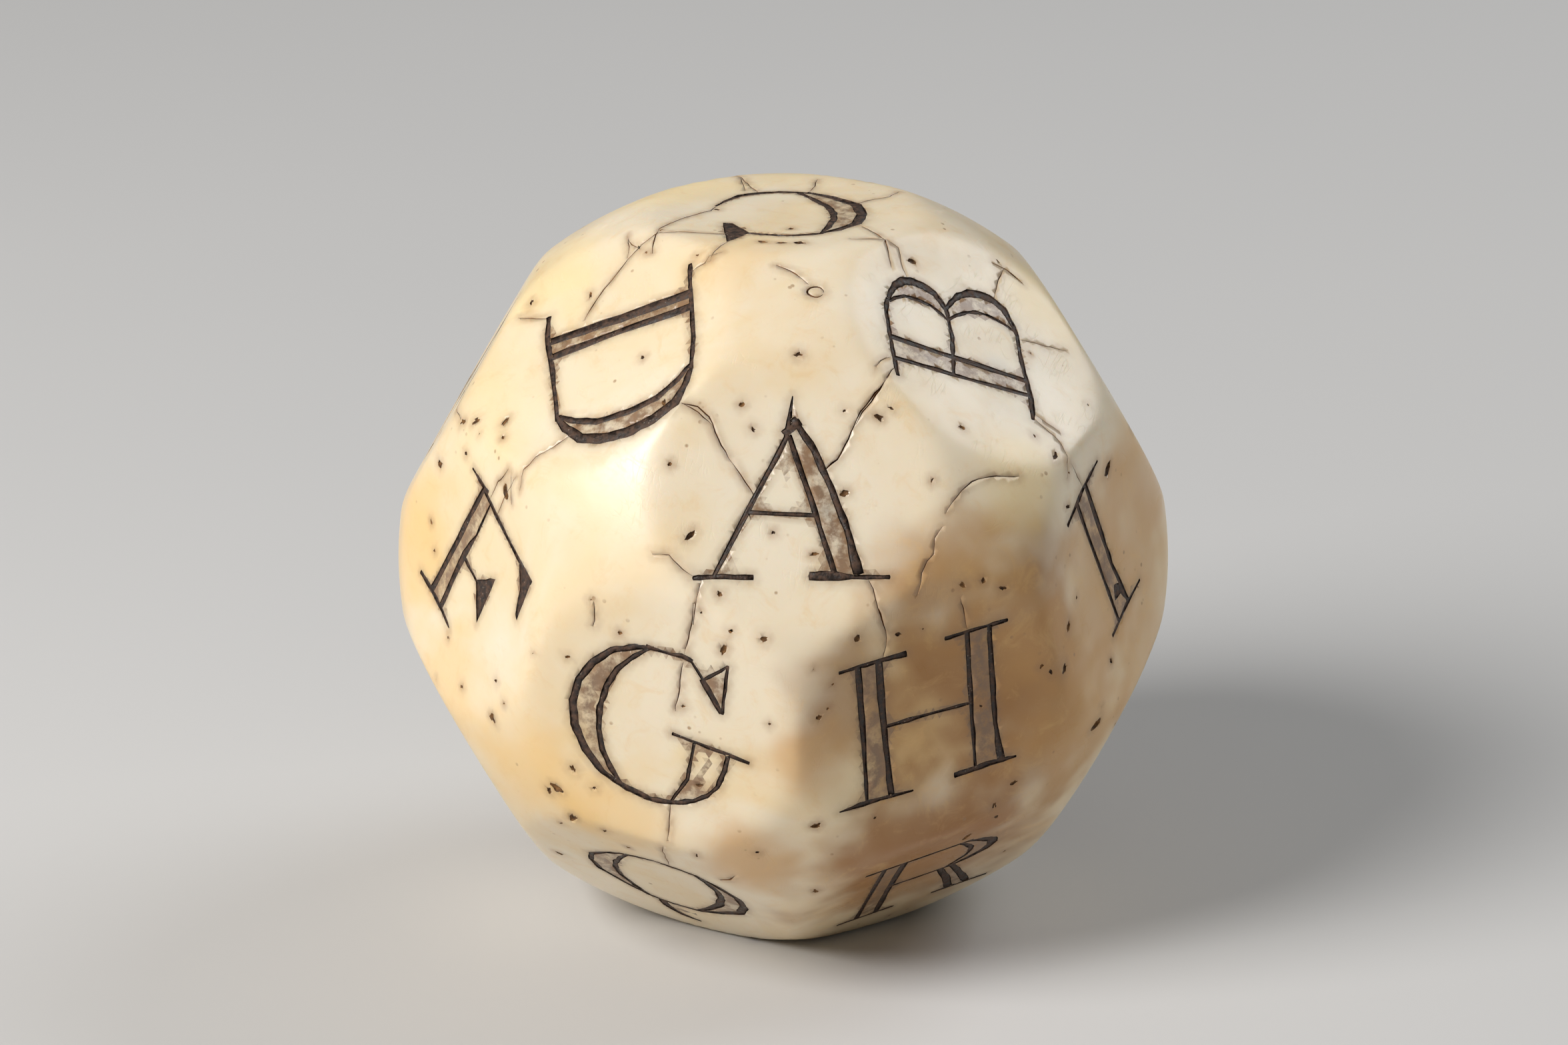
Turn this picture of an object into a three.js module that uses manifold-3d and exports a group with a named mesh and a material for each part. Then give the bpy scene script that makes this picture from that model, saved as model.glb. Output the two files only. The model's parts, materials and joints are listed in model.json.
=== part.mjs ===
// A 24-sided alphabet die. A solid ivory ball was turned, faced off with 24 flats, and a Roman
// capital was engraved on each flat with a graver and rubbed with dark pigment.
// The body is one lump of ivory; each letter's pigment is a separate filling that sits in its cuts.
// Millimetres, +Z up, origin under the middle of the flat that the die rests on.
import * as THREE from 'three';
import { mergeVertices } from 'three/addons/utils/BufferGeometryUtils.js';
import Module from 'manifold-3d';

// The blank
const acrossFlats = 42;        // between two opposite flats
const ballDiameter = 45;       // of the turned ball, left showing between the flats
const rimWear = 0.36;          // how far handling has rounded the rim of a flat
const facingAllowance = 0.02;  // taken off when a flat is trued
const blankDetail = 15;        // divisions along an edge of the icosahedron behind the ball

// The layout of the flats: four rings about a pole, polar angles from a deltoidal 24-sided solid
const topRingPolar = THREE.MathUtils.radToDeg(Math.atan(Math.SQRT2 / (1 + Math.SQRT2)));
const sideRingPolar = 69.059;

// The lettering
const capHeight = 9.4;         // of a letter, serif to serif
const drawnHeight = 9.4;       // height at which the strokes below were drawn
const grooveDepth = 0.5;
const floorShare = 1;          // width of a cut's floor as a share of its width at the flat
const cutOverrun = 0.4;        // how far the cutting solids reach above the flat
const fillRecess = 0.08;       // the pigment lies this far below the flat
const fillClearance = 0.04;    // between the pigment and the walls and floor of its cut
const strokeScale = capHeight / drawnHeight;

const flatDistance = acrossFlats / 2;
const ballRadius = ballDiameter / 2;

const ivoryFinish = new THREE.MeshStandardMaterial({ color: 0xe6d3b4, roughness: 0.35, metalness: 0 });
const pigmentFinish = new THREE.MeshStandardMaterial({ color: 0x33241d, roughness: 0.75, metalness: 0 });

const wasm = await Module();
wasm.setup();

function toSolid(geometry) {
  const bare = geometry.clone();
  bare.deleteAttribute('normal');
  bare.deleteAttribute('uv');
  const merged = mergeVertices(bare, 1e-5);
  return new wasm.Manifold(new wasm.Mesh({
    numProp: 3,
    vertProperties: Float32Array.from(merged.attributes.position.array),
    triVerts: Uint32Array.from(merged.index.array),
  }));
}

function toGeometry(solid) {
  const mesh = solid.getMesh();
  const geometry = new THREE.BufferGeometry();
  geometry.setAttribute('position', new THREE.BufferAttribute(Float32Array.from(mesh.vertProperties), 3));
  geometry.setIndex(new THREE.BufferAttribute(Uint32Array.from(mesh.triVerts), 1));
  geometry.computeVertexNormals();
  return geometry;
}

// Strokes. A cut follows a path of [x, y] points on its flat, x to the right and y up from the
// middle of the flat, and widths are given along it. A curve runs smoothly through its points.
const line = (width, ...points) => ({ points, widths: [].concat(width), smooth: false });
const curve = (width, ...points) => ({ points, widths: [].concat(width), smooth: true });
const wedge = (...corners) => ({ corners });

const curveStepsPerSpan = 2;

function widthAlong(widths, t) {
  const place = t * (widths.length - 1);
  const before = Math.min(Math.floor(place), widths.length - 1);
  const after = Math.min(before + 1, widths.length - 1);
  return THREE.MathUtils.lerp(widths[before], widths[after], place - before);
}

// The outline of one cut, lofted from its width at the top to a narrower floor.
// inset draws every wall in, and raises the floor, for the pigment.
function cutGeometry(stroke, top, inset) {
  const controls = stroke.points.map(([x, y]) => new THREE.Vector2(x, y).multiplyScalar(strokeScale));
  const path = new THREE.SplineCurve(controls);
  const spans = controls.length - 1;
  const steps = stroke.smooth ? spans * curveStepsPerSpan : spans;
  const rows = [];
  for (let i = 0; i <= steps; i += 1) {
    const t = i / steps;
    const here = path.getPoint(t);
    const behind = stroke.smooth ? path.getPoint(Math.max(t - 0.01, 0)) : controls[Math.max(i - 1, 0)];
    const ahead = stroke.smooth ? path.getPoint(Math.min(t + 0.01, 1)) : controls[Math.min(i + 1, steps)];
    const along = ahead.clone().sub(behind).normalize();
    if (i === 0) here.addScaledVector(along, inset);
    if (i === steps) here.addScaledVector(along, -inset);
    const across = new THREE.Vector2(-along.y, along.x);
    const width = widthAlong(stroke.widths, t) * strokeScale;
    rows.push({ here, across, width });
  }
  const depth = -grooveDepth + inset;
  const positions = [];
  for (const { here, across, width } of rows) {
    const flare = width * (1 - floorShare) / 2 / grooveDepth;
    const topHalf = width / 2 + flare * top - inset;
    const floorHalf = Math.max(width * floorShare / 2 + flare * inset - inset, 0.01);
    for (const [half, z] of [[topHalf, top], [floorHalf, depth], [-floorHalf, depth], [-topHalf, top]]) {
      positions.push(here.x + across.x * half, here.y + across.y * half, z);
    }
  }
  const index = [];
  for (let i = 0; i < rows.length - 1; i += 1) {
    for (let k = 0; k < 4; k += 1) {
      const a = i * 4 + k;
      const b = i * 4 + (k + 1) % 4;
      index.push(a, a + 4, b, b, a + 4, b + 4);
    }
  }
  const last = (rows.length - 1) * 4;
  index.push(0, 1, 2, 0, 2, 3, last, last + 2, last + 1, last, last + 3, last + 2);
  const geometry = new THREE.BufferGeometry();
  geometry.setAttribute('position', new THREE.BufferAttribute(Float32Array.from(positions), 3));
  geometry.setIndex(index);
  return geometry;
}

// A gouged triangle, such as the end of an arm: straight walls, each corner drawn in by the inset.
function wedgeGeometry(stroke, top, inset) {
  const corners = stroke.corners.map(([x, y]) => new THREE.Vector2(x, y).multiplyScalar(strokeScale));
  if (THREE.ShapeUtils.area(corners) < 0) corners.reverse();
  const drawnIn = corners.map((corner, i) => {
    const before = corners[(i + corners.length - 1) % corners.length];
    const after = corners[(i + 1) % corners.length];
    const arriving = corner.clone().sub(before).normalize();
    const leaving = after.clone().sub(corner).normalize();
    const inwards = new THREE.Vector2(-arriving.y - leaving.y, arriving.x + leaving.x).normalize();
    const share = Math.max(inwards.dot(new THREE.Vector2(-leaving.y, leaving.x)), 0.2);
    return corner.clone().addScaledVector(inwards, inset / share);
  });
  const depth = grooveDepth - inset;
  const geometry = new THREE.ExtrudeGeometry(new THREE.Shape(drawnIn), {
    depth: top + depth,
    bevelEnabled: false,
  });
  return geometry.translate(0, 0, -depth);
}

function strokesSolid(strokes, top, inset) {
  const solids = strokes.map((stroke) => (
    toSolid(stroke.corners ? wedgeGeometry(stroke, top, inset) : cutGeometry(stroke, top, inset))
  ));
  return solids.reduce((whole, solid) => whole.add(solid));
}

// The alphabet, drawn 9.4 mm high. A thick stroke is two cuts with a ridge of ivory between them.
// The engraver left out J and U, as printers' alphabets of the time do.
const letters = {
  A: [
    line([0.26, 0.32, 0.04], [-4.6, -4.75], [-0.42, 3.0], [-0.03, 5.4]),
    line([0.3, 0.3, 0.3], [-0.3, 3.15], [1.08, -1.17], [2.1, -4.65]),
    line([0.3, 0.42, 0.34, 0.36, 0.6], [-0.05, 4.1], [1.08, 2.33], [2.0, 0.17], [2.83, -2.17], [3.42, -4.7]),
    line(0.42, [-0.55, 3.2], [0.35, 3.9]),
    line(0.26, [-2.6, -1.13], [1.1, -1.37]),
    line([0.16, 0.34, 0.3], [-5.7, -4.78], [-4.4, -4.72], [-2.35, -4.78]),
    line([0.45, 0.55, 0.24, 0.2], [0.7, -4.72], [2.0, -4.75], [3.4, -4.85], [5.15, -4.87]),
  ],
  B: [
    curve([0.2, 0.3, 0.26, 0.26, 0.3], [-4.6, 5.5], [-3.5, 5.67], [-1.83, 5.87], [0, 6.05], [1.08, 5.9]),
    curve([0.25, 0.5, 0.6, 0.5, 0.3], [1.0, 5.9], [2.33, 5.3], [3.05, 4.2], [2.8, 2.7], [1.9, 2.0]),
    curve([0.2, 0.24, 0.24, 0.2], [0.83, 5.85], [1.7, 4.75], [1.75, 3.0], [1.1, 1.85]),
    line(0.26, [-2.9, 1.72], [0, 1.66], [2.1, 2.0]),
    curve([0.2, 0.22, 0.22, 0.2], [1.2, 1.85], [2.3, 0.6], [2.75, -0.9], [2.3, -2.75]),
    curve([0.2, 0.4, 0.6, 0.5, 0.3], [1.9, 2.0], [3.4, 1.05], [4.15, -0.5], [3.7, -2.0], [2.0, -2.85]),
    curve([0.26, 0.36, 0.26, 0.26], [-4.05, -3.5], [-2.4, -3.45], [0.4, -2.98], [2.2, -2.82]),
    line(0.28, [-3.35, 5.7], [-2.75, 0.5], [-2.25, -3.4]),
    line(0.36, [-1.85, 5.85], [-1.55, 1.6], [-1.2, -3.2]),
  ],
  C: [
    curve([0.25, 0.6, 0.66, 0.3], [-1.9, 4.6], [-4.1, 2.6], [-4.25, -1.1], [-1.5, -3.75]),
    curve([0.25, 0.4, 0.44, 0.3], [-2.0, 4.55], [-2.85, 1.7], [-2.55, -0.9], [-1.0, -3.7]),
    curve([0.3, 0.22, 0.3], [-2.1, 4.55], [0, 5.0], [2.4, 4.35]),
    wedge([2.05, 4.4], [3.4, 6.15], [3.52, 2.25], [3.0, 2.4]),
    curve([0.3, 0.34, 0.34, 0.12], [-1.7, -3.55], [0.1, -3.85], [2.4, -3.2], [3.85, -1.1]),
  ],
  D: [
    line([0.22, 0.3, 0.26, 0.32], [-3.8, 5.9], [-2.3, 5.87], [1.9, 5.98], [4.1, 5.75]),
    curve([0.3, 0.6, 0.72, 0.6, 0.3], [3.9, 5.8], [6.0, 4.7], [6.85, 1.6], [5.9, -1.4], [3.8, -2.85]),
    curve([0.3, 0.44, 0.44, 0.3], [3.7, 5.75], [5.2, 3.6], [5.2, -0.3], [3.7, -2.8]),
    line([0.3, 0.36, 0.28, 0.28], [-4.1, -3.35], [-2.5, -3.45], [0.5, -3.12], [4.0, -2.85]),
    line([0.66, 0.62, 0.5], [-1.56, 5.9], [-1.8, 1.33], [-2.15, -3.3]),
    line([0.56, 0.46, 0.5], [-0.55, 5.9], [-0.83, 1.33], [-0.95, -3.2]),
  ],
  E: [
    line(0.28, [-3.6, 4.72], [3.0, 4.6]),
    line(0.28, [-3.7, -4.6], [3.3, -4.72]),
    line(0.44, [-2.5, 4.75], [-2.7, -4.7]),
    line(0.34, [-1.3, 4.75], [-1.45, -4.7]),
    line(0.24, [-1.5, 0.2], [1.4, 0.15]),
    wedge([1.2, 0.15], [2.2, 1.4], [2.25, -1.2]),
    wedge([2.0, 4.68], [3.25, 4.72], [3.35, 2.4]),
    wedge([2.2, -4.7], [3.4, -4.8], [3.6, -2.4]),
  ],
  F: [
    line([0.14, 0.24, 0.3], [-3.7, 4.88], [-2.2, 4.95], [-1.5, 5.05]),
    line([0.3, 0.24, 0.3], [-2.1, 4.85], [2.0, 4.6], [5.2, 4.5]),
    wedge([3.4, 4.55], [5.1, 4.6], [5.32, 1.65], [5.0, 1.9], [4.5, 3.3]),
    line([0.34, 0.42, 0.42], [-1.98, 5.05], [-2.35, 0.5], [-2.7, -3.95]),
    line([0.18, 0.2, 0.44, 0.4], [-0.9, 4.8], [-0.95, 2.2], [-1.3, 0.4], [-1.35, -4.0]),
    line(0.2, [-1.3, 0.25], [0.9, 0.2]),
    wedge([0.6, 0.22], [2.15, 1.85], [2.2, -1.7]),
    line([0.24, 0.3, 0.26, 0.1], [-4.3, -3.97], [-2.7, -3.87], [-1.2, -3.92], [0.15, -4.15]),
  ],
  G: [
    curve([0.25, 0.4, 0.42, 0.48, 0.4, 0.3], [-1.0, 4.3], [-3.4, 3.4], [-5.05, 0.9], [-4.9, -2.0], [-2.9, -4.5], [0, -5.25]),
    curve([0.25, 0.3, 0.34, 0.34, 0.3], [-1.3, 4.22], [-2.95, 2.3], [-3.6, -0.4], [-3.1, -3.1], [-1.7, -4.9]),
    line([0.3, 0.14, 0.34, 0.3], [-1.5, 4.25], [0.0, 4.25], [0.6, 4.35], [1.3, 4.2]),
    line(0.2, [1.1, 4.3], [2.1, 3.2]),
    line(0.2, [1.95, 3.15], [3.35, 4.6]),
    line(0.2, [3.3, 4.65], [3.42, 1.45]),
    line(0.34, [1.95, 3.3], [3.4, 1.5]),
    line(0.2, [0.75, -0.7], [5.45, -1.08]),
    line([0.24, 0.2, 0.2], [2.12, -0.8], [2.05, -3.3], [1.3, -5.1]),
    curve([0.26, 0.26, 0.3, 0.3, 0.3], [4.15, -1.0], [3.85, -3.2], [2.6, -4.55], [0.9, -5.2], [-0.3, -5.25]),
  ],
  H: [
    line([0.34, 0.3, 0.22], [-3.8, 4.6], [-4.05, 0.3], [-4.42, -4.1]),
    line([0.5, 0.4, 0.34], [-2.55, 4.5], [-2.8, 0], [-2.95, -4.2]),
    line([0.28, 0.28, 0.22], [2.85, 4.5], [2.53, 0], [2.25, -4.3]),
    line([0.26, 0.32, 0.26, 0.5], [4.2, 4.4], [4.0, 1.33], [3.8, -1.9], [3.85, -4.4]),
    line([0.28, 0.2, 0.2], [-2.8, 0.28], [0, 0.12], [2.6, -0.08]),
    line([0.16, 0.28, 0.36], [-4.95, 4.62], [-3.0, 4.55], [-0.85, 4.42]),
    line([0.18, 0.24, 0.16], [1.5, 4.53], [3.6, 4.45], [5.35, 4.37]),
    line([0.12, 0.34, 0.1], [-6.15, -4.17], [-4.3, -4.15], [-1.6, -4.4]),
    line([0.34, 0.36, 0.16], [0.92, -4.35], [3.2, -4.35], [4.8, -4.47]),
  ],
  I: [
    line([0.2, 0.3, 0.14], [-2.15, 5.5], [0.6, 5.65], [3.1, 5.5]),
    line(0.3, [-0.48, 5.6], [-0.72, 0.9], [-0.98, -3.5]),
    line([0.4, 0.42, 0.3, 0.3], [1.05, 5.6], [0.75, 2.5], [0.52, -0.3], [0.7, -3.5]),
    line([0.9, 0.6, 0.2], [-0.3, -1.75], [0.5, -2.2], [0.62, -3.1]),
    line([0.24, 0.28, 0.16], [-2.15, -3.42], [0.2, -3.42], [2.6, -3.62]),
  ],
  K: [
    line(0.28, [-4.2, 4.65], [-0.6, 4.55]),
    line(0.28, [-4.3, -4.6], [-0.7, -4.7]),
    line(0.42, [-2.9, 4.6], [-3.1, -4.65]),
    line(0.32, [-1.75, 4.6], [-1.9, -4.7]),
    line(0.26, [-1.8, -0.6], [3.1, 4.6]),
    line(0.24, [1.9, 4.62], [4.4, 4.52]),
    line(0.36, [-0.5, 0.75], [2.9, -4.6]),
    line(0.34, [0.4, 1.6], [4.2, -4.6]),
    line(0.26, [1.7, -4.6], [5.3, -4.72]),
  ],
  L: [
    line(0.28, [-3.8, 4.7], [-0.1, 4.6]),
    line(0.42, [-2.5, 4.65], [-2.75, -4.7]),
    line(0.32, [-1.35, 4.65], [-1.55, -4.7]),
    line(0.3, [-4.0, -4.6], [3.6, -4.75]),
    wedge([2.2, -4.7], [3.6, -4.85], [3.85, -2.2]),
  ],
  M: [
    line(0.26, [-5.2, 4.6], [-2.4, 4.55]),
    line(0.24, [-3.9, 4.6], [-4.4, -4.6]),
    line(0.26, [-5.6, -4.6], [-3.2, -4.68]),
    line(0.36, [-3.9, 4.6], [-0.2, -4.5]),
    line(0.3, [-2.7, 4.55], [0.4, -3.2]),
    line(0.24, [-0.35, -4.6], [3.3, 4.6]),
    line(0.4, [3.1, 4.6], [3.5, -4.65]),
    line(0.32, [4.2, 4.55], [4.6, -4.65]),
    line(0.26, [2.9, 4.62], [5.4, 4.52]),
    line(0.26, [2.2, -4.6], [5.9, -4.7]),
  ],
  N: [
    line(0.26, [-4.9, 4.65], [-2.1, 4.6]),
    line(0.24, [-3.5, 4.6], [-3.7, -4.6]),
    line(0.28, [-5.0, -4.6], [-2.4, -4.7]),
    line(0.38, [-3.5, 4.6], [2.8, -4.6]),
    line(0.32, [-2.3, 4.6], [3.5, -3.6]),
    line(0.24, [3.5, 4.6], [3.4, -4.7]),
    line(0.28, [2.2, 4.65], [4.8, 4.55]),
    line(0.3, [2.5, -4.5], [3.6, -4.7]),
  ],
  O: [
    curve([0.2, 0.5, 0.5, 0.2], [-0.6, 4.6], [-4.6, 2.0], [-4.6, -2.0], [-0.6, -4.6]),
    curve([0.2, 0.34, 0.34, 0.2], [-0.6, 4.6], [-3.2, 1.9], [-3.2, -1.9], [-0.6, -4.6]),
    curve([0.2, 0.5, 0.5, 0.2], [0.6, 4.6], [4.6, 2.0], [4.6, -2.0], [0.6, -4.6]),
    curve([0.2, 0.34, 0.34, 0.2], [0.6, 4.6], [3.2, 1.9], [3.2, -1.9], [0.6, -4.6]),
    line(0.22, [-0.9, 4.6], [0.9, 4.6]),
    line(0.22, [-0.9, -4.6], [0.9, -4.6]),
  ],
  P: [
    line(0.28, [-4.0, 4.7], [0.7, 4.62]),
    line(0.42, [-2.6, 4.65], [-2.85, -4.65]),
    line(0.32, [-1.4, 4.65], [-1.6, -4.65]),
    line(0.28, [-4.1, -4.6], [-0.3, -4.7]),
    curve([0.28, 0.5, 0.5, 0.28], [0.4, 4.65], [3.4, 3.4], [3.4, 1.2], [0.5, -0.1]),
    curve([0.24, 0.3, 0.3, 0.24], [0.3, 4.6], [2.2, 3.2], [2.2, 1.4], [0.4, 0.0]),
    line(0.24, [-1.5, -0.1], [0.8, -0.1]),
  ],
  Q: [
    curve([0.2, 0.34, 0.34, 0.3], [-2.0, 3.4], [-4.05, 1.4], [-3.9, -1.3], [-1.2, -3.85]),
    curve([0.24, 0.36, 0.34, 0.3], [-1.5, 3.7], [-2.6, 1.2], [-2.6, -1.3], [-1.2, -3.85]),
    curve([0.24, 0.2, 0.24], [-2.1, 3.35], [0.2, 4.1], [2.9, 3.6]),
    curve([0.3, 0.5, 0.5, 0.24], [2.6, 3.75], [3.75, 1.6], [3.5, -1.2], [1.8, -4.0]),
    curve([0.24, 0.5, 0.5, 0.24], [2.7, 3.65], [4.95, 1.4], [4.75, -1.5], [1.9, -3.95]),
    curve([0.3, 0.2, 0.24], [-1.4, -3.75], [0.2, -4.2], [2.0, -3.9]),
    curve([0.5, 0.6, 0.4, 0.16], [-0.42, -4.0], [-0.3, -5.0], [0.6, -5.95], [1.7, -6.2]),
  ],
  R: [
    line(0.26, [-4.4, 4.82], [2.4, 4.72]),
    line(0.34, [-3.22, 4.8], [-3.2, -4.6]),
    line([0.5, 0.4, 0.4], [-1.95, 4.8], [-2.05, 0], [-1.98, -4.6]),
    curve([0.28, 0.3, 0.3, 0.26], [1.6, 4.75], [2.55, 3.2], [2.5, 1.8], [1.4, 0.5]),
    curve([0.28, 0.7, 0.66, 0.3], [2.1, 4.7], [3.85, 3.3], [3.75, 1.6], [1.7, 0.45]),
    line(0.24, [-2.0, 0.5], [1.9, 0.5]),
    line([0.4, 0.5, 0.5], [1.1, 0.6], [2.0, -2.0], [2.7, -4.6]),
    line([0.34, 0.44, 0.44], [1.9, 0.5], [3.0, -2.3], [3.85, -4.6]),
    line(0.26, [-4.5, -4.55], [-0.8, -4.65]),
    line(0.26, [1.6, -4.6], [5.2, -4.7]),
  ],
  S: [
    curve([0.26, 0.24, 0.44, 0.5, 0.3], [2.4, 3.6], [0.1, 4.8], [-2.6, 3.2], [-0.9, 0.7], [2.2, -1.3]),
    curve([0.26, 0.26, 0.3, 0.26], [0.3, 4.7], [-1.7, 3.3], [0.4, 1.0], [3.0, -1.9]),
    curve([0.3, 0.5, 0.3, 0.24], [2.1, -1.2], [2.9, -3.1], [0.4, -4.75], [-2.8, -3.5]),
    wedge([1.9, 3.9], [2.7, 5.0], [2.8, 2.3]),
    wedge([-2.3, -3.7], [-3.1, -4.8], [-3.1, -2.0]),
  ],
  T: [
    line(0.28, [-4.0, 4.6], [4.0, 4.6]),
    wedge([-2.7, 4.68], [-3.9, 4.72], [-4.1, 2.6]),
    wedge([2.7, 4.68], [3.9, 4.72], [4.1, 2.6]),
    line(0.42, [-0.6, 4.6], [-0.7, -4.65]),
    line(0.34, [0.6, 4.6], [0.5, -4.65]),
    line(0.28, [-2.1, -4.6], [2.0, -4.7]),
  ],
  V: [
    line(0.28, [-5.1, 4.65], [-1.5, 4.58]),
    line(0.4, [-4.0, 4.6], [-0.2, -4.6]),
    line(0.32, [-2.7, 4.6], [0.5, -3.3]),
    line(0.28, [3.6, 4.6], [-0.1, -4.7]),
    line(0.28, [2.2, 4.65], [5.0, 4.58]),
  ],
  W: [
    line(0.26, [-6.0, 4.0], [-3.2, 3.95]),
    line(0.36, [-5.0, 4.0], [-2.6, -4.6]),
    line(0.3, [-3.9, 4.0], [-2.1, -3.0]),
    line(0.26, [-0.3, 4.0], [-2.6, -4.7]),
    line(0.36, [-0.8, 3.0], [1.5, -4.6]),
    line(0.3, [0.2, 3.0], [2.1, -3.5]),
    line(0.26, [4.3, 4.0], [1.5, -4.7]),
    line(0.26, [3.1, 4.05], [5.6, 3.95]),
  ],
  X: [
    line(0.28, [-4.7, 4.65], [-1.3, 4.58]),
    line(0.38, [-3.6, 4.6], [2.3, -4.6]),
    line(0.32, [-2.4, 4.6], [3.5, -4.6]),
    line(0.26, [3.2, 4.6], [-3.5, -4.6]),
    line(0.28, [1.8, 4.65], [4.6, 4.58]),
    line(0.28, [-4.8, -4.58], [-2.0, -4.65]),
    line(0.28, [1.2, -4.58], [4.9, -4.68]),
  ],
  Y: [
    line(0.28, [-4.8, 4.65], [-1.3, 4.58]),
    line(0.38, [-3.7, 4.6], [-0.6, -0.2]),
    line(0.3, [-2.4, 4.6], [0.3, 0.4]),
    line(0.26, [3.6, 4.6], [0.3, -0.2]),
    line(0.28, [2.2, 4.65], [4.9, 4.58]),
    line(0.38, [-0.6, 0.2], [-0.65, -4.65]),
    line(0.32, [0.5, 0.4], [0.45, -4.65]),
    line(0.28, [-2.1, -4.6], [2.0, -4.7]),
  ],
  Z: [
    line(0.28, [-3.2, 4.6], [3.4, 4.6]),
    line(0.28, [-3.6, -4.6], [3.6, -4.7]),
    line(0.38, [2.1, 4.6], [-3.5, -4.6]),
    line(0.32, [3.3, 4.6], [-2.3, -4.6]),
    wedge([-2.0, 4.68], [-3.3, 4.72], [-3.5, 2.5]),
    wedge([2.2, -4.7], [3.6, -4.8], [3.8, -2.4]),
  ],
};

// Where each letter stands: rings of flats, each with its polar angle, the azimuth of its first
// flat and the letters in order round it. Every letter's head points to the pole.
const rings = [
  { polar: topRingPolar, firstAzimuth: -90, order: 'ABCD' },
  { polar: sideRingPolar, firstAzimuth: -112.5, order: 'GHIKLMEF' },
  { polar: 180 - sideRingPolar, firstAzimuth: -112.5, order: 'QRSTVNOP' },
  { polar: 180 - topRingPolar, firstAzimuth: -90, order: 'XYZW' },
];

const pole = new THREE.Vector3(0, 0, 1);

function flatsInRing({ polar, firstAzimuth, order }) {
  return [...order].map((name, i) => {
    const azimuth = THREE.MathUtils.degToRad(firstAzimuth + i * 360 / order.length);
    const normal = new THREE.Vector3().setFromSphericalCoords(1, THREE.MathUtils.degToRad(polar), 0);
    normal.set(
      Math.sin(THREE.MathUtils.degToRad(polar)) * Math.cos(azimuth),
      Math.sin(THREE.MathUtils.degToRad(polar)) * Math.sin(azimuth),
      Math.cos(THREE.MathUtils.degToRad(polar)),
    );
    const up = pole.clone().addScaledVector(normal, -pole.dot(normal)).normalize();
    const right = up.clone().cross(normal);
    const seat = new THREE.Matrix4().makeBasis(right, up, normal);
    seat.setPosition(normal.clone().multiplyScalar(flatDistance));
    return { name, normal, seat };
  });
}

const flats = rings.flatMap(flatsInRing);

// Radius of the worn blank in one direction: the ball and the nearest flat, with the rim between
// them rounded by handling.
function blankRadius(direction) {
  const facing = Math.max(...flats.map(({ normal }) => normal.dot(direction)));
  const toFlat = (flatDistance + facingAllowance) / facing;
  const blend = THREE.MathUtils.clamp(0.5 + 0.5 * (ballRadius - toFlat) / rimWear, 0, 1);
  return THREE.MathUtils.lerp(ballRadius, toFlat, blend) - rimWear * blend * (1 - blend);
}

function blankSolid() {
  const geometry = new THREE.IcosahedronGeometry(1, blankDetail);
  const position = geometry.attributes.position;
  const direction = new THREE.Vector3();
  for (let i = 0; i < position.count; i += 1) {
    direction.fromBufferAttribute(position, i).normalize();
    const radius = blankRadius(direction);
    position.setXYZ(i, direction.x * radius, direction.y * radius, direction.z * radius);
  }
  return toSolid(geometry);
}

// One pass of the facing tool, which trues a flat
function facingCutter({ seat }) {
  const sweep = acrossFlats / 2;
  const cutter = new THREE.BoxGeometry(sweep, sweep, ballRadius - flatDistance + 1);
  cutter.translate(0, 0, (ballRadius - flatDistance + 1) / 2);
  return toSolid(cutter.applyMatrix4(seat));
}

const die = new THREE.Group();
die.position.z = flatDistance;
die.rotation.x = THREE.MathUtils.degToRad(topRingPolar);

let body = blankSolid();
for (const flat of flats) {
  body = body.subtract(facingCutter(flat));
}

const fillLimit = toSolid(new THREE.IcosahedronGeometry(ballRadius - fillRecess - fillClearance, blankDetail));

for (const flat of flats) {
  const strokes = letters[flat.name];
  const placed = flat.seat.toArray();
  body = body.subtract(strokesSolid(strokes, cutOverrun, 0).transform(placed));
  const fill = strokesSolid(strokes, -fillRecess, fillClearance).transform(placed).intersect(fillLimit);
  const filling = new THREE.Mesh(toGeometry(fill), pigmentFinish);
  filling.name = `letter_${flat.name}_fill`;
  die.add(filling);
}

const ivory = new THREE.Mesh(toGeometry(body), ivoryFinish);
ivory.name = 'die_body';
die.add(ivory);

export default die;
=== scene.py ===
"""The looks of a 24-sided ivory letter die: worn ivory, engraved capitals, cracks and handling marks."""
import json
import logging
import math
import random
from dataclasses import dataclass, field
from enum import Enum
from typing import Callable, Iterable

import bmesh
import bpy
import numpy as np
from mathutils import Matrix, Vector, noise
from mathutils.kdtree import KDTree

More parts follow.
